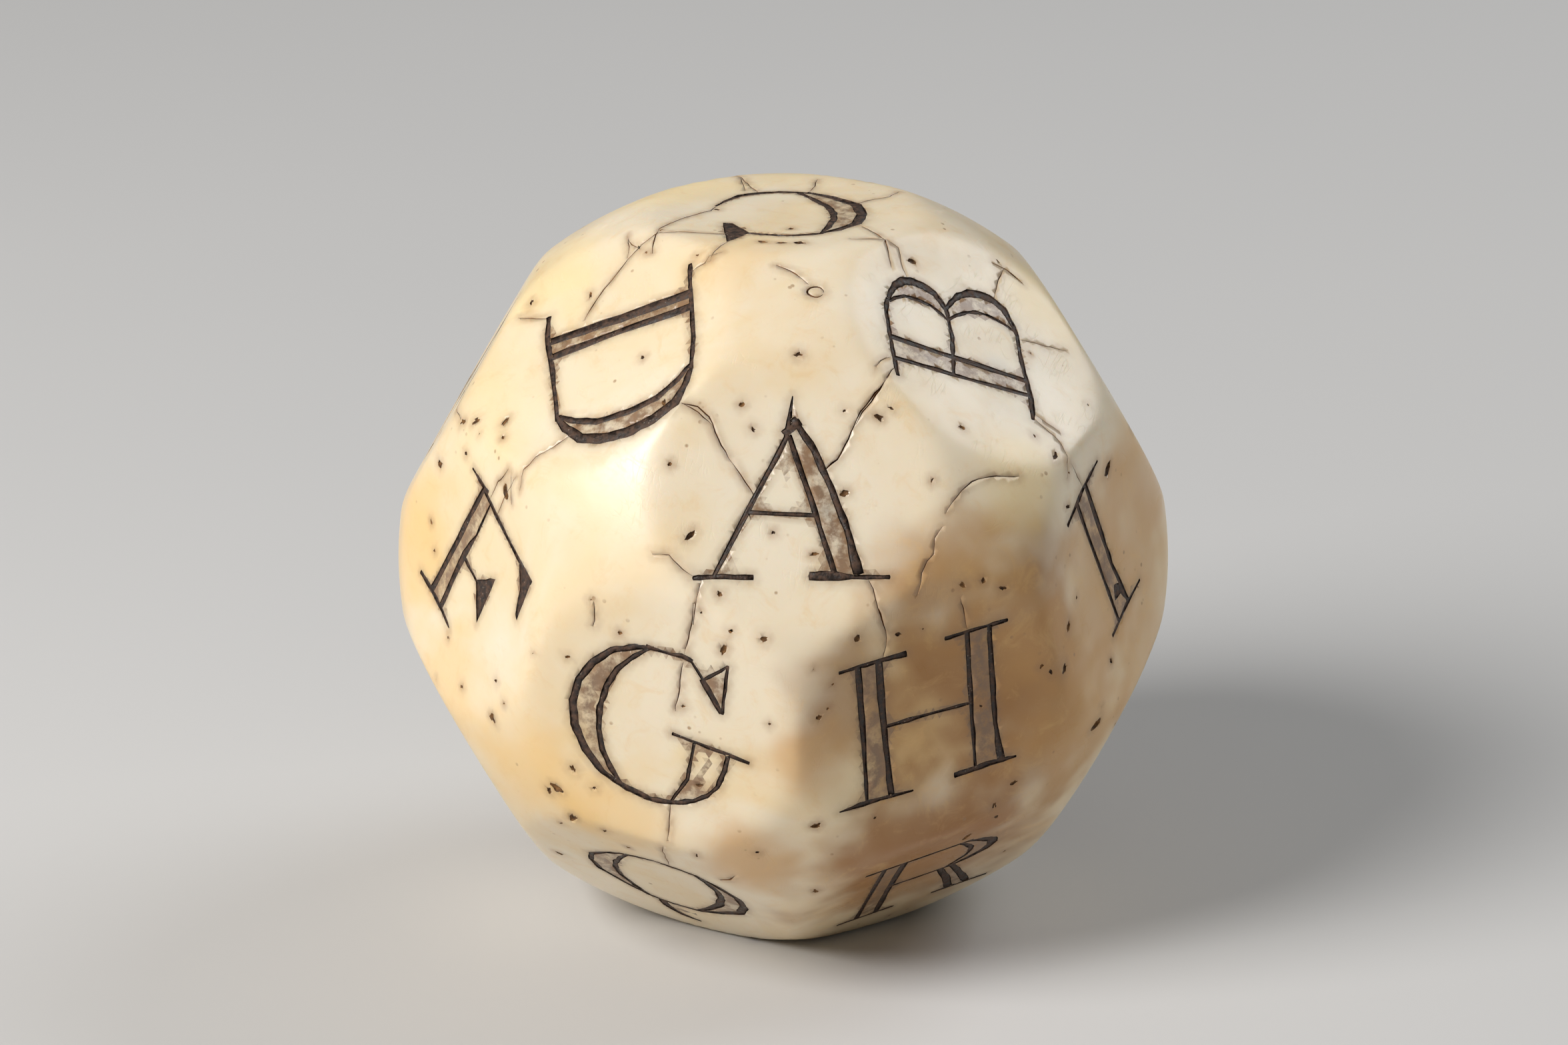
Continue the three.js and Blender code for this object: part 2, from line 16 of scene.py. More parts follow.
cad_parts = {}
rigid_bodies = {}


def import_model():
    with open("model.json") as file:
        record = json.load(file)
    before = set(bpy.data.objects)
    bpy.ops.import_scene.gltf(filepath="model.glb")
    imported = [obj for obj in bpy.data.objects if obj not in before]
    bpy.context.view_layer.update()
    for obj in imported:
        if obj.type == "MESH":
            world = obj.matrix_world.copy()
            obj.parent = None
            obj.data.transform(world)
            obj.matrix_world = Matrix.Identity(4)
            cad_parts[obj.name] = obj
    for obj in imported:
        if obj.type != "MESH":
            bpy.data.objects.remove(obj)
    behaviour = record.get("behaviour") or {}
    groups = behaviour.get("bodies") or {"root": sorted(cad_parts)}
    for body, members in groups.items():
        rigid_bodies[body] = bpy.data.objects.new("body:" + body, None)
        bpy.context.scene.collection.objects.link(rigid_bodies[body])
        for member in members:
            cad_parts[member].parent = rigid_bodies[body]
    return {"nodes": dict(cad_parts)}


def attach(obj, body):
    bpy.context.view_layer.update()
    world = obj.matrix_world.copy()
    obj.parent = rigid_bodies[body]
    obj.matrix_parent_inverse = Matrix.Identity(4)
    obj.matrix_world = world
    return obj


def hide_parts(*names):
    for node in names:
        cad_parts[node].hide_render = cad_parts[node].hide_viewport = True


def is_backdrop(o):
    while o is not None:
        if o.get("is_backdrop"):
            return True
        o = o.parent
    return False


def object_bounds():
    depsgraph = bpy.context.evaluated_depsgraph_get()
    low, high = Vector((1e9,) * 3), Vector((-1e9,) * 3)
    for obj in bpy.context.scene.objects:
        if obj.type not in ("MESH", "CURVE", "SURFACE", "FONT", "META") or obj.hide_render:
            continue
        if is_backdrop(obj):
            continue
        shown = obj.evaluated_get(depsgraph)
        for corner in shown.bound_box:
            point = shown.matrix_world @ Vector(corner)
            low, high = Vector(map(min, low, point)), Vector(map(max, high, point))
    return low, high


for leftover in list(bpy.data.objects):
    bpy.data.objects.remove(leftover)
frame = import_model()
CAD_LOW, CAD_HIGH = (Vector(corner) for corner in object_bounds())

LOG = logging.getLogger("letter_die")
MM = 0.001
BODY = "root"

Colour = tuple[float, float, float]
Point = tuple[float, float]


class Turn(Enum):
    """The direction in which a set of fine scratches runs, as a rotation in degrees."""

    ACROSS = (0.0, 0.0, 20.0)
    LENGTHWISE = (60.0, 0.0, 80.0)

    @property
    def angles(self) -> tuple[float, ...]:
        """The rotation in radians."""
        return tuple(math.radians(degrees) for degrees in self.value)


@dataclass(frozen=True)
class Flat:
    """One flat of the die, with its letter and the directions of that letter."""

    name: str
    right: Vector
    up: Vector
    normal: Vector
    centre: Vector

    def point(self, x: float, y: float, rise: float = 0.0) -> Vector:
        """Gives a point in metres.

        Args:
            x: millimetres to the right of the flat's middle.
            y: millimetres towards the head of the letter.
            rise: millimetres above the flat.

        Returns:
            The point in the frame of the die.
        """
        return self.centre + (self.right * x + self.up * y + self.normal * rise) * MM


@dataclass(frozen=True)
class Ring:
    """A ring of flats about the pole."""

    polar: float
    first_azimuth: float
    order: str


@dataclass
class Layout:
    """Where the 24 flats lie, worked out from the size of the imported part."""

    top_polar: float = math.degrees(math.atan(math.sqrt(2) / (1 + math.sqrt(2))))
    side_polar: float = 69.059
    flat_distance: float = CAD_HIGH.z / 2
    ball_radius: float = (CAD_HIGH.x - CAD_LOW.x) / 2
    flats: dict[str, Flat] = field(default_factory=dict)

    def __post_init__(self) -> None:
        """Places every flat."""
        for ring in self.rings():
            for index, name in enumerate(ring.order):
                azimuth = ring.first_azimuth + index * 360 / len(ring.order)
                self.flats[name] = self.flat(name, ring.polar, azimuth)

    @property
    def centre(self) -> Vector:
        """The middle of the die."""
        return Vector((0, 0, self.flat_distance))

    def rings(self) -> list[Ring]:
        """Lists the four rings of flats from the pole down."""
        return [
            Ring(self.top_polar, -90.0, "ABCD"),
            Ring(self.side_polar, -112.5, "GHIKLMEF"),
            Ring(180 - self.side_polar, -112.5, "QRSTVNOP"),
            Ring(180 - self.top_polar, -90.0, "XYZW"),
        ]

    def flat(self, name: str, polar: float, azimuth: float) -> Flat:
        """Places one flat.

        Args:
            name: the letter on it.
            polar: degrees from the pole.
            azimuth: degrees round the pole.

        Returns:
            The flat, with its letter's head towards the pole.
        """
        lean = Matrix.Rotation(math.radians(self.top_polar), 3, "X")
        pole = lean @ Vector((0, 0, 1))
        across = math.sin(math.radians(polar))
        turn = math.radians(azimuth)
        local = Vector((across * math.cos(turn), across * math.sin(turn), math.cos(math.radians(polar))))
        normal = lean @ local
        up = (pole - normal * pole.dot(normal)).normalized()
        return Flat(name, up.cross(normal), up, normal, self.centre + normal * self.flat_distance)

    def surface(self, point: Vector) -> tuple[Vector, Vector]:
        """Drops a point on to the die.

        Args:
            point: any point near the surface.

        Returns:
            The point on the surface on the same line from the middle, and the surface's normal there.
        """
        direction = (point - self.centre).normalized()
        facing = max(self.flats.values(), key=lambda flat: flat.normal.dot(direction))
        to_flat = self.flat_distance / facing.normal.dot(direction)
        if to_flat < self.ball_radius:
            return self.centre + direction * to_flat, facing.normal.copy()
        return self.centre + direction * self.ball_radius, direction


@dataclass(frozen=True)
class Stroke:
    """A crack or scratch that follows points on a flat and may run over its rim."""

    flat: str
    width: float
    points: tuple[Point, ...]


@dataclass(frozen=True)
class Pit:
    """A small dirty hollow: where it is on its flat, its size in millimetres, its stretch and its turn."""

    flat: str
    x: float
    y: float
    size: float
    stretch: float = 1.4
    turn: float = 30.0


@dataclass(frozen=True)
class StainAndShadePatch:
    """A soft patch of another colour, round a place on a flat: mostly staining of the ivory, while the umber patches on
    the H and R flats are painted shade as well as brown staining.
    """

    flat: str
    x: float
    y: float
    radius: float
    colour: Colour
    strength: float


AMBER: Colour = (0.86, 0.54, 0.17)
HONEY: Colour = (0.93, 0.74, 0.40)
# Umber is brown staining and also painted shade: its patches darken the H and R flats, which face away from both lamps.
UMBER_AND_PAINTED_SHADE: Colour = (0.33, 0.135, 0.02)
TAN: Colour = (0.62, 0.34, 0.11)
ASH: Colour = (0.36, 0.37, 0.32)
PALE: Colour = (0.88, 0.80, 0.67)

def nerve_eye(flat: str, x: float, y: float, radius: float) -> Stroke:
    """Draws the small ring that the nerve of the tusk left near the pole.

    Args:
        flat: the flat whose measures place it.
        x: millimetres to the right of that flat's middle.
        y: millimetres above it, past the rim.
        radius: the ring's radius in millimetres.

    Returns:
        A stroke that nearly closes on itself.
    """
    turns = [math.tau * step / 14 for step in range(14)]
    return Stroke(flat, 0.13, tuple((x + radius * math.cos(a), y + radius * math.sin(a)) for a in turns))


CRACKS: tuple[Stroke, ...] = (
    nerve_eye("A", 1.53, 12.7, 0.52),
    Stroke("A", 0.12, ((-0.84, 15.6), (0.06, 14.9), (0.7, 14.1), (1.1, 13.5))),
    Stroke("A", 0.04, ((14.2, 1.25), (12.1, 1.1), (10.2, 0.6), (8.8, -0.65), (8.3, -1.4))),
    Stroke("B", 0.05, ((-3.6, -3.5), (-4.0, -4.9), (-4.2, -5.4))),
    Stroke("C", 0.06, ((2.05, -4.3), (2.15, -5.5), (2.25, -7.2))),
    Stroke("D", 0.05, ((-6.4, 2.7), (-7.1, 2.2), (-7.9, 1.8))),
    Stroke("A", 0.09, ((-6.6, 5.2), (-5.3, 4.8), (-4.7, 4.2), (-4.2, 3.0), (-3.6, 1.9), (-3.0, 0.9), (-2.2, -0.2))),
    Stroke("A", 0.10, ((5.6, 6.9), (4.8, 5.8), (4.0, 4.8), (3.5, 4.0), (3.0, 2.9), (2.3, 1.8), (1.6, 1.0))),
    Stroke("A", 0.07, ((-5.2, -4.9), (-5.5, -5.8), (-5.8, -6.8), (-6.0, -7.6))),
    Stroke("A", 0.10, ((4.0, -5.0), (4.3, -6.0), (4.7, -7.0), (4.95, -7.7))),
    Stroke("A", 0.05, ((8.2, -2.0), (7.75, -2.7), (7.7, -3.6), (7.3, -4.0), (7.0, -4.7), (6.8, -6.0))),
    Stroke("A", 0.05, ((-8.0, -3.4), (-7.0, -3.5), (-6.3, -4.3), (-5.6, -4.7))),
    Stroke("B", 0.09, ((-8.2, 7.9), (-7.0, 7.3), (-6.2, 6.8), (-5.0, 6.25), (-4.1, 5.7))),
    Stroke("B", 0.06, ((-4.7, 7.0), (-4.0, 6.6), (-3.4, 5.9))),
    Stroke("B", 0.07, ((3.1, 4.5), (4.3, 4.8), (5.3, 5.0), (5.75, 5.7), (5.9, 6.7), (5.9, 7.8))),
    Stroke("B", 0.06, ((-3.9, -3.5), (-4.3, -4.2), (-4.6, -4.9), (-5.0, -5.3), (-5.8, -5.8), (-7.0, -6.2))),
    Stroke("B", 0.05, ((1.8, -3.0), (2.0, -4.0), (2.25, -5.2), (2.35, -6.2))),
    Stroke("B", 0.05, ((4.2, -1.4), (5.5, -1.7), (7.0, -2.2))),
    Stroke("B", 0.16, ((7.1, -1.4), (6.9, -2.4), (6.4, -3.5))),
    Stroke("C", 0.10, ((-6.2, 8.0), (-5.8, 6.5), (-5.2, 5.0), (-4.4, 3.2))),
    Stroke("C", 0.11, ((8.0, 5.3), (7.2, 3.3), (6.3, 2.0), (5.2, 0.7), (4.2, -0.2), (3.7, -1.3))),
    Stroke("C", 0.10, ((-4.2, -1.2), (-5.0, -2.0), (-6.3, -2.7), (-6.9, -3.9))),
    Stroke("C", 0.08, ((-1.7, -3.8), (-2.0, -5.0), (-2.2, -6.4))),
    Stroke("C", 0.08, ((1.3, -3.7), (1.8, -5.3), (2.2, -7.0), (2.5, -8.0))),
    Stroke("C", 0.08, ((3.3, 6.0), (4.0, 7.2), (4.6, 8.2))),
    Stroke("D", 0.09, ((-7.2, 8.0), (-7.3, 6.7), (-7.4, 5.0), (-7.3, 3.8), (-6.5, 2.5), (-5.5, 1.3), (-4.0, -0.2), (-2.8, -1.0))),
    Stroke("D", 0.06, ((-8.2, 1.8), (-7.0, 2.0), (-6.1, 1.9))),
    Stroke("D", 0.07, ((-4.1, 8.0), (-3.9, 7.2), (-3.4, 6.8), (-3.1, 5.9))),
    Stroke("D", 0.06, ((-4.0, -3.4), (-4.5, -4.5), (-5.0, -5.4))),
    Stroke("D", 0.06, ((6.0, 4.9), (7.0, 6.0), (8.0, 6.7))),
    Stroke("D", 0.09, ((5.4, -2.0), (5.8, -3.2), (6.0, -4.3), (6.5, -5.2), (7.6, -6.0))),
    Stroke("D", 0.05, ((6.2, -6.2), (7.0, -6.8), (7.9, -7.2))),
    Stroke("F", 0.06, ((0.1, 8.0), (0.0, 6.3), (0.0, 4.6))),
    Stroke("F", 0.06, ((-0.7, 7.7), (-1.1, 6.3), (-1.1, 4.9))),
    Stroke("G", 0.07, ((0.8, 7.8), (0.86, 7.0), (0.85, 6.0), (0.75, 4.4))),
    Stroke("G", 0.03, ((0.74, 4.0), (0.78, 2.4), (0.75, 0.8))),
    Stroke("G", 0.06, ((1.3, -5.1), (1.4, -6.3), (1.5, -7.8))),
    Stroke("G", 0.05, ((-4.9, 6.2), (-4.7, 5.3), (-4.68, 4.5))),
    Stroke("H", 0.10, ((-2.1, 7.8), (-2.0, 7.0), (-1.9, 6.2), (-2.0, 5.3), (-2.3, 4.6))),
    Stroke("H", 0.04, ((2.7, 6.8), (2.8, 5.6), (2.85, 4.6))),
    Stroke("I", 0.05, ((0.6, 7.8), (0.65, 6.7), (0.75, 5.6))),
    Stroke("Q", 0.06, ((1.2, 7.8), (1.1, 6.7), (1.15, 4.2))),
    Stroke("Q", 0.2, ((5.3, 6.0), (4.9, 5.2), (4.3, 4.5))),
    Stroke("K", 0.08, ((-7.4, 3.4), (-5.8, 2.7), (-4.9, 1.2), (-3.1, 0.6))),
    Stroke("K", 0.07, ((4.3, -4.8), (5.2, -5.9), (5.4, -7.4))),
    Stroke("L", 0.08, ((1.2, 7.8), (0.4, 6.6), (-0.2, 5.5), (-0.6, 4.6))),
    Stroke("M", 0.09, ((-7.6, -1.5), (-6.3, -2.6), (-5.5, -4.4))),
    Stroke("M", 0.06, ((4.3, 4.8), (5.4, 6.0), (5.6, 7.4))),
    Stroke("E", 0.08, ((3.3, 4.4), (4.7, 5.0), (6.1, 4.8), (7.6, 5.9))),
    Stroke("E", 0.06, ((-2.7, -4.7), (-3.4, -6.0), (-3.2, -7.6))),
    Stroke("P", 0.07, ((-7.8, 2.0), (-6.1, 1.4), (-4.5, 2.1), (-2.6, 1.3))),
    Stroke("S", 0.07, ((2.8, 4.6), (3.9, 5.5), (4.2, 7.5))),
    Stroke("T", 0.08, ((0.5, -4.7), (1.4, -6.1), (1.1, -7.7))),
    Stroke("V", 0.07, ((-4.0, 4.6), (-5.2, 5.4), (-5.6, 7.3))),
    Stroke("N", 0.08, ((3.5, -4.6), (4.3, -5.8), (4.0, -7.5))),
    Stroke("O", 0.07, ((-7.6, 0.6), (-6.0, 0.2), (-4.4, 1.1))),
)

PITS: tuple[Pit, ...] = (
    Pit("A", -2.85, 4.9, 0.34, 1.1), Pit("A", 0.3, 7.7, 0.3, 2.2, 0.0), Pit("A", -2.25, 3.5, 0.3, 1.9, -60.0),
    Pit("A", -6.9, 1.6, 0.26), Pit("A", -5.8, -2.4, 0.4, 2.2, 45.0), Pit("A", -4.25, -5.7, 0.3, 1.7, -60.0),
    Pit("A", 2.72, -0.16, 0.5, 1.3, 10.0), Pit("A", 1.0, -3.52, 0.26, 2.2, 4.0), Pit("A", 7.6, 0.55, 0.24, 1.6, 45.0),
    Pit("A", 5.4, 4.6, 0.22, 2.0, -20.0), Pit("A", 2.8, 4.5, 0.18), Pit("A", -3.7, -7.8, 0.24),
    Pit("B", -6.7, 1.4, 0.3, 1.8, 80.0), Pit("B", -6.1, -4.9, 0.42, 1.9, -10.0), Pit("B", -7.5, 6.5, 0.38, 1.8, 70.0),
    Pit("B", 7.4, -1.9, 0.3), Pit("B", -5.2, -3.5, 0.2), Pit("B", -7.0, -5.7, 0.2), Pit("B", 1.1, -3.7, 0.16),
    Pit("C", -0.7, 6.4, 0.5, 1.7, -15.0), Pit("C", 0.3, 6.35, 0.36, 1.8, 0.0), Pit("C", 1.35, 6.15, 0.4, 1.8, -25.0),
    Pit("C", -0.3, 3.6, 0.34, 1.4, 70.0), Pit("C", 3.8, -0.4, 0.34, 1.3, -40.0), Pit("C", 7.1, 3.5, 0.3),
    Pit("D", -4.25, 6.4, 0.26), Pit("D", 1.8, 2.7, 0.28, 1.5, 20.0), Pit("D", -4.5, -0.6, 0.26, 2.4, 0.0),
    Pit("D", -5.8, -4.5, 0.28, 2.0, -25.0), Pit("D", 3.6, -6.4, 0.26), Pit("D", 2.5, -6.3, 0.34, 2.4, -45.0),
    Pit("D", -6.0, 3.1, 0.18), Pit("D", 6.9, -7.4, 0.6, 2.0, -20.0), Pit("D", -2.9, 7.6, 0.2),
    Pit("F", 4.6, 6.6, 0.28), Pit("F", -5.6, 7.0, 0.44, 2.6, 75.0), Pit("F", -6.6, 5.9, 0.36, 2.4, 55.0),
    Pit("F", -4.8, 5.0, 0.28), Pit("F", -6.6, 2.4, 0.5, 1.5, 10.0), Pit("F", 5.85, -2.6, 0.24),
    Pit("F", 7.3, -3.0, 0.28), Pit("F", 6.8, -4.7, 0.6, 1.6, -30.0), Pit("F", -3.9, -1.9, 0.2),
    Pit("F", -5.2, -0.9, 0.26, 1.6, -20.0), Pit("F", 7.8, 1.5, 0.36, 1.8, 60.0), Pit("F", 0.4, -4.65, 0.2),
    Pit("F", -4.6, 6.7, 0.3, 2.0, 80.0), Pit("F", 3.3, -5.7, 0.22, 1.8, 30.0),
    Pit("G", 2.9, 5.5, 0.4, 2.2, 80.0), Pit("G", 3.15, 6.8, 0.26), Pit("G", 1.3, 7.4, 0.22),
    Pit("G", -3.1, 4.6, 0.26), Pit("G", -5.9, 2.1, 0.28), Pit("G", 1.15, 1.25, 0.22), Pit("G", -4.6, -4.9, 0.34, 1.6, -50.0),
    Pit("G", -5.5, -6.7, 0.6, 1.8, -15.0), Pit("G", -6.1, -7.3, 0.36, 1.8, 80.0), Pit("G", 5.1, 6.9, 0.36, 2.0, 25.0),
    Pit("G", 7.1, 3.8, 0.22, 2.0, 20.0), Pit("G", 6.2, 1.8, 0.18), Pit("G", -3.2, -5.7, 0.2), Pit("G", -5.0, 6.1, 0.24),
    Pit("G", 6.8, -7.2, 0.22), Pit("G", 1.5, -7.7, 0.24), Pit("G", 6.8, -4.3, 0.2),
    Pit("H", -6.5, 2.3, 0.36, 1.2, -40.0), Pit("H", -3.6, 6.4, 0.4, 1.5, 70.0), Pit("H", -1.2, 5.8, 0.36, 1.3, -40.0),
    Pit("H", 3.0, 7.5, 0.5, 1.9, -40.0), Pit("H", 4.3, 7.3, 0.36, 1.4, 80.0), Pit("H", 5.4, 6.4, 0.4, 1.9, -35.0),
    Pit("H", -6.3, 5.4, 0.22), Pit("H", -7.6, -4.8, 0.44, 1.6, 20.0), Pit("H", 3.1, -7.3, 0.4, 1.6, 80.0),
    Pit("H", 4.4, -6.2, 0.36, 1.7, 30.0), Pit("H", -4.1, -5.3, 0.2), Pit("H", 7.0, 0.7, 0.26), Pit("H", 7.5, 0.1, 0.3, 1.7, -70.0),
    Pit("H", 0.3, 5.6, 0.14), Pit("H", -5.4, 4.06, 0.16), Pit("H", -5.9, 2.65, 0.18), Pit("H", 5.45, -5.9, 0.18),
    Pit("I", -1.4, 6.3, 0.34, 1.7, -40.0), Pit("I", 0.0, 7.6, 0.24), Pit("I", 3.6, 4.2, 0.5, 2.6, 8.0),
    Pit("I", -7.7, -0.3, 0.5, 1.8, 30.0), Pit("I", -5.8, 1.2, 0.4, 1.8, 25.0), Pit("I", -4.0, 1.65, 0.18),
    Pit("I", -6.6, -6.3, 0.6, 2.2, 12.0), Pit("I", -5.7, -5.6, 0.3, 2.0, -30.0),
    Pit("Q", -4.4, 7.3, 0.5, 2.4, 65.0), Pit("Q", -5.3, 5.8, 0.3, 2.4, 70.0), Pit("Q", 3.2, 7.6, 0.34, 1.8, 85.0),
    Pit("Q", -1.2, 5.3, 0.26), Pit("Q", -2.4, 7.2, 0.3, 2.0, 60.0), Pit("Q", -6.4, -0.9, 0.4, 1.6, -40.0),
    Pit("R", 1.7, 5.9, 0.5, 2.2, 70.0), Pit("R", -7.5, 4.6, 0.34, 2.0, -60.0), Pit("R", 3.3, 7.6, 0.4, 2.2, -50.0),
)

# Most patches are staining of the ivory; the umber patches on the H and R flats paint in shade as well as brown
# staining.
STAINS_AND_PAINTED_SHADE: tuple[StainAndShadePatch, ...] = (
    StainAndShadePatch("H", 1.5, 0.5, 9.5, AMBER, 0.65), StainAndShadePatch("H", 5.5, 1.0, 8.0, UMBER_AND_PAINTED_SHADE, 0.75),
    StainAndShadePatch("H", -1.0, -8.5, 8.5, UMBER_AND_PAINTED_SHADE, 0.75), StainAndShadePatch("H", 2.0, 8.0, 5.5, UMBER_AND_PAINTED_SHADE, 0.6),
    StainAndShadePatch("H", 6.5, -5.0, 7.0, UMBER_AND_PAINTED_SHADE, 0.6), StainAndShadePatch("H", 9.5, 6.5, 5.5, UMBER_AND_PAINTED_SHADE, 0.6),
    StainAndShadePatch("H", -4.5, 2.5, 5.5, UMBER_AND_PAINTED_SHADE, 0.6), StainAndShadePatch("I", -2.0, 0.0, 8.0, TAN, 0.7),
    StainAndShadePatch("H", 4.0, 2.0, 9.0, UMBER_AND_PAINTED_SHADE, 0.45), StainAndShadePatch("A", 10.5, -5.0, 5.5, TAN, 0.7),
    StainAndShadePatch("A", 1.75, -1.1, 0.9, ASH, 0.8), StainAndShadePatch("B", -1.0, -1.5, 1.4, ASH, 0.5),
    StainAndShadePatch("B", 2.6, -2.4, 0.9, ASH, 0.6), StainAndShadePatch("B", 0.0, 0.0, 10.0, PALE, 0.45),
    StainAndShadePatch("A", 0.5, 0.5, 7.5, PALE, 0.35), StainAndShadePatch("A", 3.5, 10.5, 6.0, PALE, 0.4),
    StainAndShadePatch("R", 0.0, 3.0, 11.0, UMBER_AND_PAINTED_SHADE, 0.85), StainAndShadePatch("I", 3.0, -1.0, 6.5, TAN, 0.5),
    StainAndShadePatch("I", -8.0, -5.0, 7.0, TAN, 0.7), StainAndShadePatch("I", -8.5, 3.0, 5.0, TAN, 0.5),
    StainAndShadePatch("I", 6.5, 1.0, 6.0, TAN, 0.45), StainAndShadePatch("I", 1.0, -8.0, 7.0, TAN, 0.5),
    StainAndShadePatch("F", -6.0, -3.0, 6.5, AMBER, 0.6), StainAndShadePatch("F", 3.0, -7.5, 7.0, AMBER, 0.45),
    StainAndShadePatch("D", -7.5, -4.0, 6.0, HONEY, 0.6), StainAndShadePatch("D", 2.0, -7.5, 5.0, HONEY, 0.3),
    StainAndShadePatch("C", 6.5, -5.5, 6.0, HONEY, 0.6), StainAndShadePatch("C", 3.5, 7.5, 5.0, AMBER, 0.3),
    StainAndShadePatch("G", -7.5, -7.0, 6.5, AMBER, 0.5), StainAndShadePatch("G", 8.5, 0.0, 4.0, TAN, 0.6),
    StainAndShadePatch("Q", 6.5, 7.5, 5.0, TAN, 0.7), StainAndShadePatch("Q", -2.0, 8.5, 6.0, AMBER, 0.5),
    StainAndShadePatch("B", -8.5, -3.0, 4.5, HONEY, 0.55), StainAndShadePatch("B", 6.5, -6.0, 5.0, HONEY, 0.5),
    StainAndShadePatch("K", 5.0, -5.0, 8.0, TAN, 0.5), StainAndShadePatch("M", -6.0, 3.0, 8.0, HONEY, 0.6),
    StainAndShadePatch("E", -4.0, -6.0, 9.0, AMBER, 0.4), StainAndShadePatch("T", 4.0, 2.0, 9.0, TAN, 0.5),
    StainAndShadePatch("N", -5.0, -3.0, 9.0, TAN, 0.4), StainAndShadePatch("Y", 3.0, 3.0, 10.0, UMBER_AND_PAINTED_SHADE, 0.5),
)


def socket(node: bpy.types.Node, name: str, value: object) -> None:
    """Sets one input of a node."""
    node.inputs[name].default_value = value


@dataclass
class Nodes:
    """A short hand for laying out one node tree."""

    tree: bpy.types.NodeTree

    def add(self, kind: str, **settings: object) -> bpy.types.Node:
        """Adds a node.

        Args:
            kind: the node's type, without the ShaderNode in front.
            settings: attributes to set on it.

        Returns:
            The new node.
        """
        node = self.tree.nodes.new("ShaderNode" + kind)
        for name, value in settings.items():
            setattr(node, name, value)
        return node

    def link(self, source: bpy.types.NodeSocket, target: bpy.types.NodeSocket) -> None:
        """Joins two sockets."""
        self.tree.links.new(source, target)

    def math(self, operation: str, a: object, b: object = 0.0, clamp: bool = False) -> bpy.types.NodeSocket:
        """Adds a Math node.

        Args:
            operation: the node's operation.
            a: a socket or a number.
            b: a socket or a number.
            clamp: whether the result is held between 0 and 1.

        Returns:
            The result's socket.
        """
        node = self.add("Math", operation=operation, use_clamp=clamp)
        for slot, value in enumerate((a, b)):
            if isinstance(value, bpy.types.NodeSocket):
                self.link(value, node.inputs[slot])
            else:
                node.inputs[slot].default_value = value
        return node.outputs[0]

    def mix(self, factor: object, a: object, b: object, blend: str = "MIX") -> bpy.types.NodeSocket:
        """Mixes two colours.

        Args:
            factor: a socket or a number.
            a: a socket or a colour.
            b: a socket or a colour.
            blend: the blend mode.

        Returns:
            The mixed colour's socket.
        """
        node = self.add("Mix", data_type="RGBA", blend_type=blend)
        for slot, value in ((0, factor), (6, a), (7, b)):
            if isinstance(value, bpy.types.NodeSocket):
                self.link(value, node.inputs[slot])
            elif slot == 0:
                node.inputs[slot].default_value = value
            else:
                node.inputs[slot].default_value = (*value, 1.0)
        return node.outputs[2]

    def ramp(self, value: bpy.types.NodeSocket, low: float, high: float, to_low: float = 0.0,
             to_high: float = 1.0) -> bpy.types.NodeSocket:
        """Maps a value smoothly from one range to another.

        Args:
            value: the socket to map.
            low: the value that gives to_low.
            high: the value that gives to_high.
            to_low: the result at low.
            to_high: the result at high.

        Returns:
            The mapped value's socket.
        """
        node = self.add("MapRange", interpolation_type="SMOOTHSTEP")
        self.link(value, node.inputs["Value"])
        for name, number in (("From Min", low), ("From Max", high), ("To Min", to_low), ("To Max", to_high)):
            socket(node, name, number)
        return node.outputs["Result"]

    def noise(self, vector: bpy.types.NodeSocket, scale: float, detail: float = 3.0,
              roughness: float = 0.55, distortion: float = 0.0) -> bpy.types.NodeSocket:
        """Adds a noise texture and gives its value.

        Args:
            vector: where the pattern is read.
            scale: repeats in a metre.
            detail: octaves.
            roughness: the weight of the finer octaves.
            distortion: how far the pattern is swirled.

        Returns:
            The value's socket.
        """
        node = self.add("TexNoise")
        self.link(vector, node.inputs["Vector"])
        for name, number in (("Scale", scale), ("Detail", detail), ("Roughness", roughness),
                             ("Distortion", distortion)):
            socket(node, name, number)
        return node.outputs["Fac"]


def new_group(name: str, inputs: Iterable[tuple[str, str, object]],
              outputs: Iterable[tuple[str, str]]) -> tuple[Nodes, bpy.types.Node, bpy.types.Node]:
    """Starts a shader node group.

    Args:
        name: the group's name.
        inputs: the name, socket type and default of each input.
        outputs: the name and socket type of each output.

    Returns:
        The group's nodes and its input and output node.
    """
    tree = bpy.data.node_groups.new(name, "ShaderNodeTree")
    for label, kind, default in inputs:
        made = tree.interface.new_socket(label, in_out="INPUT", socket_type=kind)
        if default is not None:
            made.default_value = default
    for label, kind in outputs:
        tree.interface.new_socket(label, in_out="OUTPUT", socket_type=kind)
    entrance = tree.nodes.new("NodeGroupInput")
    leaving = tree.nodes.new("NodeGroupOutput")
    return Nodes(tree), entrance, leaving


